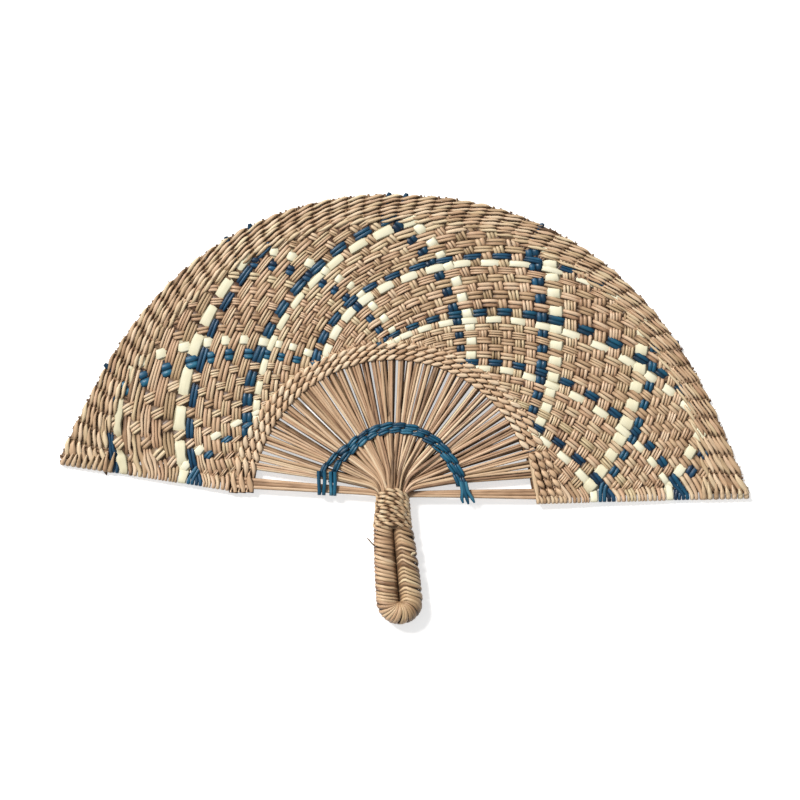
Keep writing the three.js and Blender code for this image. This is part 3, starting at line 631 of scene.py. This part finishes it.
def split_strand(line):
    """The straws of one strand, side by side"""
    centre, wave, spacing, colour = (line[label] for label in ("centre", "wave", "spacing", "colour"))
    count = len(centre)
    width = spacing * line["fullness"] * np.interp(centre[:, 0], *line["slimming"])
    # Painted shade: each straw darkens where the strand dives under the other family.
    shade = -0.4 * np.clip(0.7 - wave, 0, 1)
    if colour == "cream":
        parts, thickness, fill = 1, 0.34, 1.0
    elif colour == "blue":
        parts, thickness, fill = 2, 0.4, 1.12
    else:
        parts = int(np.clip(round(np.median(width) / 1.75 + rng.normal(0, 0.35)), 2, 4))
        thickness, fill = 0.6, 1.05
    sideways = beside(centre)
    drift = wander(count, 0.26, 9)
    hue = drawn(0.4, 0.3)
    tone = rng.normal(0.42 if colour == "blue" else 0.71, 0.11)
    # A wide flat straw under each strand is painted shade: its dark tone closes the cracks between strands.
    painted_shade_sheet = centre + sideways * drift[:, None] + UP * (wave * WEAVE_RISE - 0.45)[:, None]
    yield straw(painted_shade_sheet, UP, np.maximum(width, spacing) * 0.6, 0.2, 0.02, hue)
    for part in range(parts):
        seat = part - (parts - 1) / 2
        offset = seat * width / parts + drift + wander(count, 0.14, 7)
        height = wave * WEAVE_RISE + wander(count, 0.1, 5)
        place = centre + sideways * offset[:, None] + UP * height[:, None]
        half = width / parts / 2 * fill * (1 + wander(count, 0.05, 5))
        path = [place, np.tile(UP, (count, 1)), half, shade]
        for index, lane_here in zip((0, -1), line["lanes"]):
            path = [values[::-1] for values in path]
            if lane_here:
                edge, lane, room, heading = lane_here
                own_lane = lane + math.copysign(1, sideways[index] @ edge.along) * seat * room * 0.94 / parts
                more = over_edge(edge, place[index], heading, own_lane, half[index], room * 0.47 / parts)
                path = [np.concatenate(pair) for pair in zip(path, (*more, np.zeros(len(more[0]))))]
        place, facing, half, painted_shade = path
        part_tone = in_range(tone + rng.normal(0, 0.16) + painted_shade)
        yield straw(place, facing, half, thickness, part_tone, drawn(hue, 0.15))


# How the width of a strand changes over the blade, from left to right
EVEN = ([0, 1], [1, 1])
SLIM_AT_LEFT = ([-50, 0, 60, 120], [0.58, 0.66, 0.84, 0.92])
SLIGHTLY_SLIM_AT_LEFT = ([-50, 0, 60, 120], [0.78, 0.84, 0.92, 0.96])

panel_lines = []
straws_of = {"leftward": [], "rightward": [], "cream": [], "blue": []}
for family, tables, sign, flipped, fullness, slimming, colour_slimming in (
        ("leftward", (LEFT_TABLE, RIGHT_TABLE), 1, {0, 1}, 0.9, SLIM_AT_LEFT, SLIGHTLY_SLIM_AT_LEFT),
        ("rightward", (RIGHT_TABLE, LEFT_TABLE), -1, {5}, 0.92, EVEN, EVEN)):
    for strand in range(GUIDE_NUMBERS[0] * STRANDS_PER_GUIDE, GUIDE_NUMBERS[-1] * STRANDS_PER_GUIDE):
        colour = colour_of_strand(strand, flipped)
        bold = 0.22 if colour == "cream" else 0.0
        line = panel_strand(*tables, strand, sign, family == "rightward" or colour == "blue", bold)
        if line:
            line.update(colour=colour, home=colour, slimming=colour_slimming)
            if colour == "natural":
                line.update(home=family, slimming=slimming)
            line["fullness"] = {"cream": 0.97, "blue": 0.9, "natural": fullness}[colour]
            panel_lines.append(line)
ends_at_edges(panel_lines)
for line in panel_lines:
    straws_of[line["home"]] += split_strand(line)

lay_straws("panel_straws_leftward", straws_of["leftward"], ["woven_panel"])
lay_straws("panel_straws_rightward", straws_of["rightward"])
lay_straws("panel_ribbons_cream", straws_of["cream"], [], cream_straw, sides=8)
lay_straws("panel_strips_blue", straws_of["blue"], [], blue_straw)


# Twining. Each strand of a pair goes over one column and under the next. Columns count clockwise,
# and a stitch climbs from the inner side to the outer one as it goes clockwise.


def row_radius(inner_of, pitch_of, row):
    """Radius of the middle of a row, as a function of the direction"""
    return lambda angle: inner_of(angle) + (row + 0.5) * pitch_of(angle)


def twined_row(radius_of, pitch_of, angle_of, columns, lift, swing, half_width, tones, hues, parts=1,
               tip=0.3, uneven=0.08, dwell=0.3, dip=0.6, half_thickness=0.8):
    """Two strands of one row, whose swing and half width are shares of its pitch. angle_of gives the
    direction at a column number, tip is how much of its width a stitch keeps where it dives between
    two columns, dwell how long it stays on top, and dip how much painted shade darkens it down there."""
    def own(size):
        """Random value of each stitch"""
        return rng.normal(0, size, columns + 3)[stitch]

    for start in (0, 1):
        column = np.linspace(-0.45, columns - 0.55, columns * 10 + 1)
        angle = angle_of(column)
        pitch = pitch_of(angle)
        phase = np.pi * (column + start)
        raised, outward = (np.cos(phase) + dwell) / (1 + dwell), polar(1.0, angle)
        on_top = np.clip(raised, 0, 1)
        # Painted shade where a stitch dives between two columns
        painted_shade = -dip * np.clip(0.7 - raised, 0, 1)
        stitch = np.round(column).astype(int) + 1
        facing = UP + outward * (0.35 * np.sin(phase))[:, None]
        swell = tip + (1 - tip) * on_top ** 0.8
        tone = rng.normal(tones[0], tones[1] * 0.6) + own(tones[1])
        hue = drawn(*hues)
        for part in range(parts):
            seat = part - (parts - 1) / 2
            half = half_width * pitch / parts * (1.0 if parts == 1 else 1.12)
            radius = radius_of(angle) + swing * pitch * np.sin(phase) + own(uneven) * on_top
            place = on_blade(radius + seat * 2 * half * 0.86 * swell, angle)
            room = np.clip(above_edges(place) / 8, 0.2, 1)
            place[:, 2] += room * (lift * np.tanh(2.4 * raised) + own(uneven) * on_top)
            width = half * swell * (1 + own(0.75 * uneven) * on_top)
            yield straw(place, facing, width, half_thickness * (0.62 + 0.38 * swell),
                        in_range(tone + painted_shade + own(0.07) * on_top), hue)


def row_shade(radius_of, pitch_of, angle, drop, half_width, tone):
    """Wide straw of painted shade under a row of stitches, which closes the cracks there"""
    return straw(on_blade(radius_of(angle), angle, -drop), UP, half_width * pitch_of(angle), 0.3, tone, 0.3)


def twined_end(points):
    """Two strands of a row that go on along a line of their own"""
    stitches, half_width = 5, 1.7
    line = bent_line(points, stitches * 9 + 1)
    for start in (0, 1):
        phase = np.pi * (np.linspace(0, stitches, len(line)) + start + 0.5)
        place = line + beside(line) * (0.55 * half_width * np.sin(phase))[:, None]
        place[:, 2] += 0.7 * np.cos(phase)
        # Painted shade where each strand dives under the other
        tone = in_range(rng.normal(0.47, 0.14) - 0.45 * np.clip(0.75 - np.cos(phase), 0, 1))
        yield straw(place, UP, half_width * (0.35 + 0.65 * np.abs(np.cos(phase))), 0.75, tone, 0.1)


# Inner band, three rows over the spokes and the two edge ribs

BUNDLES, SPOKES_PER_BUNDLE = 14, 3
SPOKES = BUNDLES * SPOKES_PER_BUNDLE


def spoke_angle(index):
    return rad(lerp(9.9, 172.9, index / (SPOKES - 1)))


# Directions of the band's columns, the first of them one step before column 0
BAND_COLUMNS = np.concatenate([rad([187.34, 180.5]), spoke_angle(np.arange(SPOKES))[::-1], [rad(1.6)]])
BAND_STITCHES = SPOKES - 2


def band_angle(column):
    return np.interp(column, np.arange(len(BAND_COLUMNS)) - 1, BAND_COLUMNS)


band_straws = []
for row in range(BAND_ROWS):
    radius_of = row_radius(band_inner, band_pitch, row)
    band_straws += twined_row(radius_of, band_pitch, band_angle, BAND_STITCHES, 1.3, 0.3, 0.39, (0.68, 0.15),
                              (0.05, 0.08), tip=0.16, uneven=0.14, dwell=0.5, half_thickness=0.9)
    angle = band_angle(np.linspace(-0.5, BAND_STITCHES - 0.5, 150))
    band_straws.append(row_shade(radius_of, band_pitch, angle, 0.9, 0.56, 0.0))

# At the right the rows go on as three twisted ends, which run down beside a flat straw and over the
# edge. Each has its start in the plan and how far along the edge it ends.
BAND_ENDS = [([78.4, 22.8], 84.6), ([78.2, 25.6], 88.6), ([82.0, 26.6], 93.2), ([86.0, 27.4], 98.0)]
for start, end in BAND_ENDS:
    top = float(blade_height(np.hypot(*start), rad(15)))
    foot = RIGHT_EDGE.place(end - 1.2, 3.0, top + 0.9)
    # A wide dark straw under each end is a sheet of painted shade.
    band_straws.append(loose_straw([[*start, top - 0.9], foot - [0, 0, 1.3]], 2.7, 0.3, 0.0, 0.3))
    if end == BAND_ENDS[0][1]:
        band_straws.append(loose_straw([[*start, top + 0.8], foot], 1.5, 0.6, 0.6, 0.3))
    else:
        band_straws += twined_end([[*start, top + 0.9], foot])
    for part in (-0.5, 0.5):
        near = foot + np.array([part * 1.8, 1.2, 0.1])
        lane = end + part * 2.2
        centre, facing, half = over_edge(RIGHT_EDGE, near, -RIGHT_EDGE.inward, lane, 0.6, 1.1, 1.1)
        band_straws.append(straw([near, *centre], [UP, *facing], [0.3, *half], 0.62, rng.normal(0.6, 0.1), 0.3))
lay_straws("inner_band", band_straws,
           [f"band_row_{row}_strand_{strand}" for row in (1, 2, 3) for strand in "ab"],
           pale_straw, sides=8)


# Rim

RIM_COLUMNS = 51


def rim_angle(column, radius_of):
    return blade_angle(lerp(0.996, 0.004, column / RIM_COLUMNS), radius_of)


def rim_pitch(angle):
    return rim_width(angle) / RIM_ROWS


rim_straws = []
for row in range(RIM_ROWS):
    radius_of = row_radius(panel_outer, rim_pitch, row)
    shift = rng.normal(0, 0.08)
    rim_straws += twined_row(
        radius_of, rim_pitch, lambda column: rim_angle(column + shift + 0.5, radius_of), RIM_COLUMNS, 1.2,
        0.46, 0.52, (0.74, 0.17), (0.38, 0.25), tip=0.22, uneven=0.2, dip=0.4)
    angle = rim_angle(np.linspace(0, RIM_COLUMNS, 4 * RIM_COLUMNS), radius_of)
    rim_straws.append(row_shade(radius_of, rim_pitch, angle, 0.35, 0.55, 0.24))
lay_straws("rim_stitches", rim_straws, [f"rim_row_{row}" for row in range(1, RIM_ROWS + 1)])

# Straw ends that run out under the rim's stitches, a few of them dyed. The natural ones are dark,
# partly their own colour and partly painted shade between the stitches.
under_straws, dyed_ends = [], []
middle_row = row_radius(panel_outer, rim_pitch, 3)
for column in range(RIM_COLUMNS):
    for part in range(5):
        angle = rim_angle(column + 0.1 + 0.2 * part + rng.normal(0, 0.02), middle_row)
        angles = angle + rng.normal(0, 0.004) * np.linspace(-1, 1, 9)
        end = rng.uniform(0.2, 1.0) if part in (1, 3) else -0.6
        radius = np.linspace(panel_outer(angle) - 4, rim_radius(angle) + end, 9)
        half = np.interp(np.arange(9), [0, 6, 8], [1.15, 1.15, 0.75])
        under_straws.append(straw(on_blade(radius, angles, rng.normal(0, 0.1)), UP, half, 0.5,
                                  rng.uniform(0.0, 0.12)))
for degrees in (93.8, 90.5, 159.6, 121.5, 126.6, 63.7, 30.5):
    angle = rad(degrees)
    radius = np.linspace(rim_radius(angle) - 5, rim_radius(angle) + 1.4, 6)
    place = polar(radius, angle + np.linspace(0.006, -0.006, 6), RIM_HEIGHT + np.linspace(0, 1.3, 6))
    dyed_ends.append(straw(place, UP, np.interp(np.arange(6), [0, 4, 5], [1.7, 1.7, 1.1]), 0.5, 0.3, 0.4))
lay_straws("rim_straw_ends", under_straws)
lay_straws("rim_dyed_ends", dyed_ends, [], blue_straw)

# Wraps round the rim's two lower ends, from one place along the edge to another with a step between
corner_wraps, fibres = [], []
for edge, first, last, step in ((RIGHT_EDGE, 179.5, 205.5, 3.5), (LEFT_EDGE, 163.0, 193.6, 3.1)):
    for lane in np.arange(first, last, step):
        depth = lerp(10.5, 5.0, (lane - first) / (last - first)) + rng.normal(0, 0.8)
        lean = rng.normal(1.4, 0.8)
        start = edge.place(lane - lean, depth, RIM_HEIGHT + 1.7)
        middle = edge.place(lane - lean / 2, depth * 0.55, RIM_HEIGHT + 2.1)
        centre, facing, half = over_edge(edge, middle, -edge.inward, lane, step * 0.4, step * 0.47, 1.45)
        corner_wraps.append(straw([start, middle, *centre], [UP, UP, *facing], [0.4, step * 0.34, *half],
                                  0.75, rng.normal(0.62, 0.15)))
# Frayed fibres that stand out of the rim's outer row
for _ in range(70):
    angle = rng.uniform(rad(3), rad(177))
    start = polar(rim_radius(angle) - 1.2, angle, RIM_HEIGHT + rng.uniform(0.2, 1.4))
    end = start + polar(1.0, angle + rng.normal(0, 0.7), rng.normal(0, 0.3)) * rng.uniform(1.6, 3.2)
    fibres.append(loose_straw([start, end], rng.uniform(0.12, 0.28), 0.12, rng.uniform(0.0, 0.5), count=5))
lay_straws("rim_corner_wraps", corner_wraps)
lay_straws("rim_fibres", fibres, sides=4)


# Spokes

SPOKE_POINTS = 40


def spoke_straw(angle_end, angle_bundle, shift_start, shift_end, layer, half_width, tone, hue):
    """Straw from the neck up its bundle's stem and out to the band. The shifts move it sideways
    along the stem and at its end, and the layer tells how high it lies in the pile at the neck."""
    def place(angle, out, shift):
        return out * math.cos(angle) - shift * math.sin(angle), out * math.sin(angle) + shift * math.cos(angle)

    # The lowest spokes at the right end under the flat straw that closes the band there.
    end_radius = np.interp(np.degrees(angle_end), [9, 14, 19, 24], [84.5, 84, 85, 88])
    neck_x = 6.6 * math.cos(angle_bundle)
    line = bent_line([
        (neck_x + shift_start * 0.3, -6.0),
        (neck_x + shift_start * 0.4, -2.2),
        place(angle_bundle, 11, shift_start * 0.6),
        place(angle_bundle, 22, shift_start * 0.8),
        place(angle_bundle, 35, shift_start),
        place(angle_end, end_radius, shift_end),
    ], SPOKE_POINTS)
    radius, angle = to_polar(line)
    pile = layer * np.interp(radius, [0, 9, 20, 36, 60], [3.4, 3.2, 1.9, 0.8, 0.25])
    height = blade_height(radius, np.clip(angle, rad(2), rad(178))) + pile
    return straw(np.column_stack([line, height]), UP, half_width, 0.78, tone, hue)


spoke_straws = []
for index in range(SPOKES):
    bundle_angle = spoke_angle(index // SPOKES_PER_BUNDLE * SPOKES_PER_BUNDLE + 1)
    seat = index % SPOKES_PER_BUNDLE - 1
    parts = 2 if rng.random() < 0.75 else 3
    degrees = float(np.degrees(spoke_angle(index)))
    # The wide dark straw lowest in each spoke is painted shade over most of the gap to the next one.
    reach = np.interp(degrees, [12, 25, 60, 100, 120, 155, 165], [1.9, 2.6, 2.7, 2.7, 3.1, 3.0, 1.8])
    widths = [1.7, 1.7, reach * rng.uniform(0.85, 1.06)]
    spoke_straws.append(spoke_straw(
        spoke_angle(index) - 0.004, bundle_angle, seat * 1.7, -0.3, -2.6,
        np.interp(np.arange(SPOKE_POINTS), [0, 10, SPOKE_POINTS - 1], widths),
        np.interp(degrees, [90, 120], [0.0, 0.1]), 0.6))
    middle_tone = np.interp(degrees, [30, 60, 110, 140, 155], [0.46, 0.44, 0.5, 0.62, 0.76])
    for part in range(parts):
        place = part - (parts - 1) / 2
        spoke_straws.append(spoke_straw(
            spoke_angle(index) + rng.normal(0, 0.004), bundle_angle + rng.normal(0, 0.01),
            seat * 1.65 + place * 0.9 + rng.normal(0, 0.2), place * 1.65 + rng.normal(0, 0.18),
            rng.uniform(-0.8, 1), rng.uniform(0.78, 1.04), drawn(middle_tone, 0.24, 0.16, 0.96),
            drawn(0.08, 0.2)))
lay_straws("spoke_straws", spoke_straws, [f"spoke_bundle_{bundle:02d}" for bundle in range(1, BUNDLES + 1)])

RIB_RADIUS = 92


def rib_straws(edge, width, inset):
    """Three straws side by side along a lower edge, from the neck to the band"""
    outer_height = blade_height(RIB_RADIUS, rad(3))
    for seat in range(3):
        angle = edge.direction(RIB_RADIUS) + edge.side * (inset + seat * width) / RIB_RADIUS
        end = polar(RIB_RADIUS, angle)[:2]
        start = np.array([edge.side * 6.5, -2.6 + seat * width * 0.3])
        line = bent_line([start + [-edge.side * 4, -2.5], start, lerp(start, end, 0.3) + [0, 0.15], end], 30)
        height = np.interp(np.hypot(*line.T), [0, RIB_RADIUS], [HANDLE_HEIGHT, outer_height])
        yield straw(np.column_stack([line, height + rng.normal(0, 0.2)]), UP, width * 0.56, 0.75,
                    rng.normal(0.46, 0.12), 0.1)


lay_straws("right_edge_straws", [*rib_straws(RIGHT_EDGE, 2.2, 2.6)], ["right_edge_rib"])
lay_straws("left_edge_straws", [*rib_straws(LEFT_EDGE, 2.3, 2.4)], ["left_edge_rib"])


# Blue arc, two rows of stitches side by side over the bundles

ARC_COLUMNS = 15


def arc_radius(angle):
    return np.interp(np.degrees(angle), [3, 9, 36, 90, 120, 140, 158, 172, 178],
                     [40.5, 39.3, 37, 36, 35, 34.4, 37.5, 39.3, 39.6])


def arc_spread(angle):
    """Half the distance between the two rows, which part towards the left end"""
    return np.interp(np.degrees(angle), [3, 90, 140, 172], [1.6, 1.5, 1.7, 3.4])


arc_straws = []
for row, side in enumerate((-1, 1)):
    arc_straws += twined_row(
        lambda angle: arc_radius(angle) + side * arc_spread(angle), lambda angle: 1.0,
        lambda column: rad(lerp(176.0, 6.0, (column + 0.3 * row + 0.5) / ARC_COLUMNS)),
        ARC_COLUMNS, 1.8, 0.42, 1.72, (0.56, 0.16), (0.2, 0.15), parts=2, tip=0.72, uneven=0.2)

# The blue straws end in loops round the left edge rib and in frayed ends past the right one.
for x, lean in ((-42.8, 0.6), (-39.4, -0.3), (-35.9, 0.5), (-33.4, 0.0)):
    line = [[x - 0.5, 9, 8.2], [x, 3, 8.0], [x + lean, -3, 7.6], [x + lean, -5.6, 6.0], [x + lean, -3, 4.2]]
    arc_straws.append(loose_straw(line, 1.1, 0.7, rng.normal(0.62, 0.12), 0.2, count=22))
for x, end_x, end_y in ((38.6, 40.7, -5.3), (39.8, 43.8, -5.8), (41.5, 47.2, -4.8)):
    line = [[x, 7, 8.2], [x + 1.4, 1.5, 8.2], [end_x - 1, -3, 7.8], [end_x, end_y, 7.4]]
    arc_straws.append(loose_straw(line, 1.05, 0.6, rng.normal(0.62, 0.12), 0.2))
lay_straws("blue_arc", arc_straws, ["blue_arc_strand_a", "blue_arc_strand_b"], blue_straw, 8)


# Handle. The loop goes down the left leg, round the bend and up the right leg, as in the source.

NECK_TOP, NECK_FOOT = np.array([0.0, -3.2]), np.array([0.85, -21.8])
LOOP_TOP = NECK_FOOT + [0, 2.6]
BEND_CENTRE, BEND_RADIUS = np.array([6.9, -63.4]), 6.75
LEG_SPACING_TOP = 2 * cord_outer(LEG_HALF_TOP) + 0.9
LOOP_TURNS = 54
# Half the thickness of the core and from its middle to the cord's, near the neck and half-way round
CORE_HALVES, WRAP_HALVES = (4.6, 5.8), (4.85, 6.05)
# The core's dark tone is painted shade in the slot between the legs.
CORE_LEAN = 1.05  # the core leans into the slot and makes it dark
CUT_END = [[12.2, -36.8, 11.6], [13.1, -35.7, 12.7], [13.9, -34.7, 12.9]]
DARK_FIBRE = [[-9.0, -32.4, 7.8], [-10.6, -31.0, 8.4], [-12.2, -29.2, 8.6], [-13.6, -28.0, 8.4]]


def loop_line(count):
    """Evenly spaced points of the loop, and its length"""
    share = np.linspace(0, 1, 40)[:, None]
    spread = lerp(LEG_SPACING_TOP / 2, BEND_RADIUS, np.sin(share * np.pi / 2)) * np.array([1, 0])
    middle = lerp(LOOP_TOP, BEND_CENTRE, share)
    turn = np.linspace(np.pi, 2 * np.pi, 30)[1:-1]
    bend = BEND_CENTRE + BEND_RADIUS * np.stack([np.cos(turn), np.sin(turn)], 1)
    points = np.concatenate([middle - spread, bend, (middle + spread)[::-1]])
    distance = run_along(points)
    return interp_points(np.linspace(0, distance[-1], count), distance, points), distance[-1]


LOOP, LOOP_LENGTH = loop_line(600)


def on_loop(share):
    """Middle of the loop and its sideways direction at a share of its length"""
    steps = np.linspace(0, 1, len(LOOP))
    centre, ahead, behind = (interp_points(share + shift, steps, LOOP) for shift in (0, 0.004, -0.004))
    tangent = unit(ahead - behind)
    return centre, np.stack([-tangent[..., 1], tangent[..., 0]], -1)


def loop_half(halves, share):
    return lerp(*halves, np.sin(np.pi * np.clip(share, 0, 1)) ** 0.8)


# Core of gathered straw under the cord, in a dark tone that paints the shade in the slot and between the turns
core_share = np.linspace(0, 1, 90)
core_centre, core_side = on_loop(core_share)
core_half = loop_half(CORE_HALVES, core_share)
core_line = np.column_stack([core_centre + CORE_LEAN * core_side, np.full(90, HANDLE_HEIGHT)])
neck_share = np.linspace(0, 1, 12)
neck_line = np.column_stack([lerp(NECK_TOP, NECK_FOOT, neck_share[:, None]), np.full(12, HANDLE_HEIGHT)])
core = [straw(core_line, UP, core_half, core_half, 0.12, 0.3),
        straw(neck_line, UP, lerp(7.9, 9.2, neck_share), 4.7, 0.12, 0.3)]
lay_straws("handle_core_straw", core, ["handle_core"], sides=24)


def turn_on_loop(middle_share, ridge, left_fall, right_fall, width, bend, tone, hue):
    """One turn of cord round the loop. It peaks at the ridge, falls off to both sides and gets
    pointed where it dives between its neighbours on the underside. Round the bend it is wider on
    the loop's outer side."""
    degrees = np.linspace(-88, 268, 30)
    turn = rad(degrees)
    fall = np.where(degrees < ridge, left_fall, right_fall) * np.abs(degrees - ridge) / 90
    share = middle_share + fall / LOOP_LENGTH
    centre, sideways = on_loop(share)
    half = loop_half(WRAP_HALVES, share)
    plan = centre + sideways * (half * np.cos(turn))[:, None]
    height = HANDLE_HEIGHT + (half - 0.2) * np.sin(turn)
    facing = np.column_stack([sideways * np.cos(turn)[:, None], np.sin(turn)])
    swell = np.interp(degrees, [-88, -15, 60, 120, 195, 268], [0.55, 0.85, 1.0, 1.0, 0.85, 0.55])
    swell = swell * (1 - 0.7 * bend * np.cos(turn))
    # Painted shade: a turn darkens away from its top, on its sides and underside
    painted_shade = 0.6 * np.clip(0.8 - np.sin(turn), 0, 1)
    return straw(np.column_stack([plan, height]), facing, width * swell, 0.85, in_range(tone - painted_shade), hue)


wrap_straws = []
# The turns lie closer together round the bend, where the outer side is longer.
turn_share = np.linspace(0, 1, 400)
crowding = np.cumsum(1 + 0.7 * np.exp(-((turn_share - 0.5) / 0.12) ** 2))
turn_order = (np.arange(LOOP_TURNS) + 0.3) / (LOOP_TURNS - 0.4)
for share in np.interp(turn_order, crowding / crowding[-1], turn_share):
    is_right = share > 0.5
    straight = 1 - math.exp(-((share - 0.5) / 0.12) ** 2)
    hue = drawn(0.34 if is_right else 0.05, 0.15)
    tone = drawn(lerp(0.32, 0.48, straight), 0.15, 0.05, 0.98)
    if is_right:
        ridge, left_fall, right_fall = 66, lerp(-1.4, -4.4, straight), lerp(-2.6, -5.0, straight)
    else:
        ridge, left_fall, right_fall = 120, lerp(1.6, 2.6, straight), lerp(-0.6, -1.8, straight)
    wobble = rng.normal(1, 0.16)
    middle_share = float(share + rng.normal(0, 0.0015))
    width = lerp(0.94, 1.1, straight) * rng.normal(1, 0.14)
    wrap_straws.append(turn_on_loop(middle_share, ridge, left_fall * wobble, right_fall * wobble, width,
                                    1 - straight, tone, hue))
# A cut cord end on the right leg, and one dark fibre that stands off the left leg
for lean in (-0.5, 0.1, 0.6):
    line = np.array(CUT_END) + [[0, 0, 0], [lean, 0, 0], [lean, 0, 0]]
    wrap_straws.append(loose_straw(line, 0.6, 0.3, 0.98, 0.6, count=6))
wrap_straws.append(loose_straw(DARK_FIBRE, 0.45, 0.3, 0.0, 1.0, count=10))
lay_straws("loop_wrap_cord", wrap_straws, ["loop_wrap"], cord_straw)


# Neck: nine rows of short stitches. Each stitch dives under its neighbour and arches over the front.

NECK_ROWS, NECK_STITCHES, NECK_POINTS = 9, 5, 141


def neck_row(row):
    progress = (row + 0.5) / NECK_ROWS
    middle = lerp(NECK_TOP, NECK_FOOT, progress) + [0, 0.2]
    turned = rng.uniform(0, 2)
    turn = np.linspace(0, 2 * np.pi, NECK_POINTS)
    arch = np.where(np.sin(turn) > 0, lerp(4.8, 1.6, progress), 0.5) * np.sin(turn) ** 2
    for start in (0, 1):
        phase = NECK_STITCHES * turn + np.pi * start + turned
        on_top = np.cos(phase)
        outer = 0.9 + 0.7 * on_top
        across, up = lerp(7.4, 9.2, progress) + outer, 4.8 + outer
        outward = np.column_stack([np.cos(turn) / across * 8, np.zeros(NECK_POINTS), np.sin(turn) / up * 8])
        points = np.column_stack([middle[0] + across * np.cos(turn), middle[1] + arch + 0.8 * np.sin(phase),
                                  HANDLE_HEIGHT + up * np.sin(turn)])
        swell = 0.3 + 0.7 * np.clip(0.5 + 0.5 * on_top, 0, 1) ** 0.8
        halves = 2 * NECK_STITCHES + 2
        own = rng.normal(0.06, 0.2, halves)[np.floor(phase / np.pi).astype(int) % halves]
        # Painted shade where a stitch dives under its neighbour
        tone = in_range(0.5 + own - 0.75 * np.clip(0.75 - on_top, 0, 1))
        yield straw(points, outward, 1.12 * swell, 0.85, tone, rng.uniform(0.1, 0.4))


neck_straws = [item for row in range(NECK_ROWS) for item in neck_row(row)]
lay_straws("neck_binding_cord", neck_straws, ["neck_binding"], cord_straw)


# Floor, light and background. The floor glows a little where it is seen, so that it comes out as
# white as the photograph's ground and still shows the fan's shadow.

FLOOR_CORNERS = [(-4, -4, 0), (4, -4, 0), (4, 4, 0), (-4, 4, 0)]
FLOOR_GLOW, ROOM_LIGHT = 0.58, 0.27

floor_finish = Finish("floor")
path = floor_finish.add("ShaderNodeLightPath").outputs
seen = floor_finish.math("ADD", path["Is Camera Ray"], path["Is Glossy Ray"])
seen = floor_finish.math("ADD", seen, path["Is Transmission Ray"], clamp=True)
floor_finish.surface({"Base Color": (0.96, 0.96, 0.96, 1), "Roughness": 0.9, "Specular IOR Level": 0.0,
                      "Emission Color": (1, 1, 1, 1),
                      "Emission Strength": floor_finish.math("MULTIPLY", seen, FLOOR_GLOW)})
floor_mesh = bpy.data.meshes.new("floor")
floor_mesh.from_pydata(FLOOR_CORNERS, [], [(0, 1, 2, 3)])
floor_mesh.materials.append(floor_finish.material)
floor = put("floor", floor_mesh)

sun_data = bpy.data.lights.new("window_light", "SUN")
sun_data.energy = 3.6
sun_data.angle = math.radians(16)
sun_data.color = (1.0, 0.968, 0.93)
sun = put("window_light", sun_data)
sun.rotation_euler = (math.radians(48), 0, math.radians(-135))

world = bpy.data.worlds.new("room")
bpy.context.scene.world = world
world.use_nodes = True
room = Nodes(world.node_tree)
path = room.add("ShaderNodeLightPath").outputs
seen = room.math("ADD", path["Is Camera Ray"], path["Is Transmission Ray"])
strength = room.add("ShaderNodeMapRange", {"Value": seen, "To Min": ROOM_LIGHT, "To Max": 1.0})
room.feed(world.node_tree.nodes["Background"], {"Color": (1, 1, 1, 1), "Strength": strength.outputs["Result"]})

bpy.context.scene.view_settings.view_transform = "Standard"
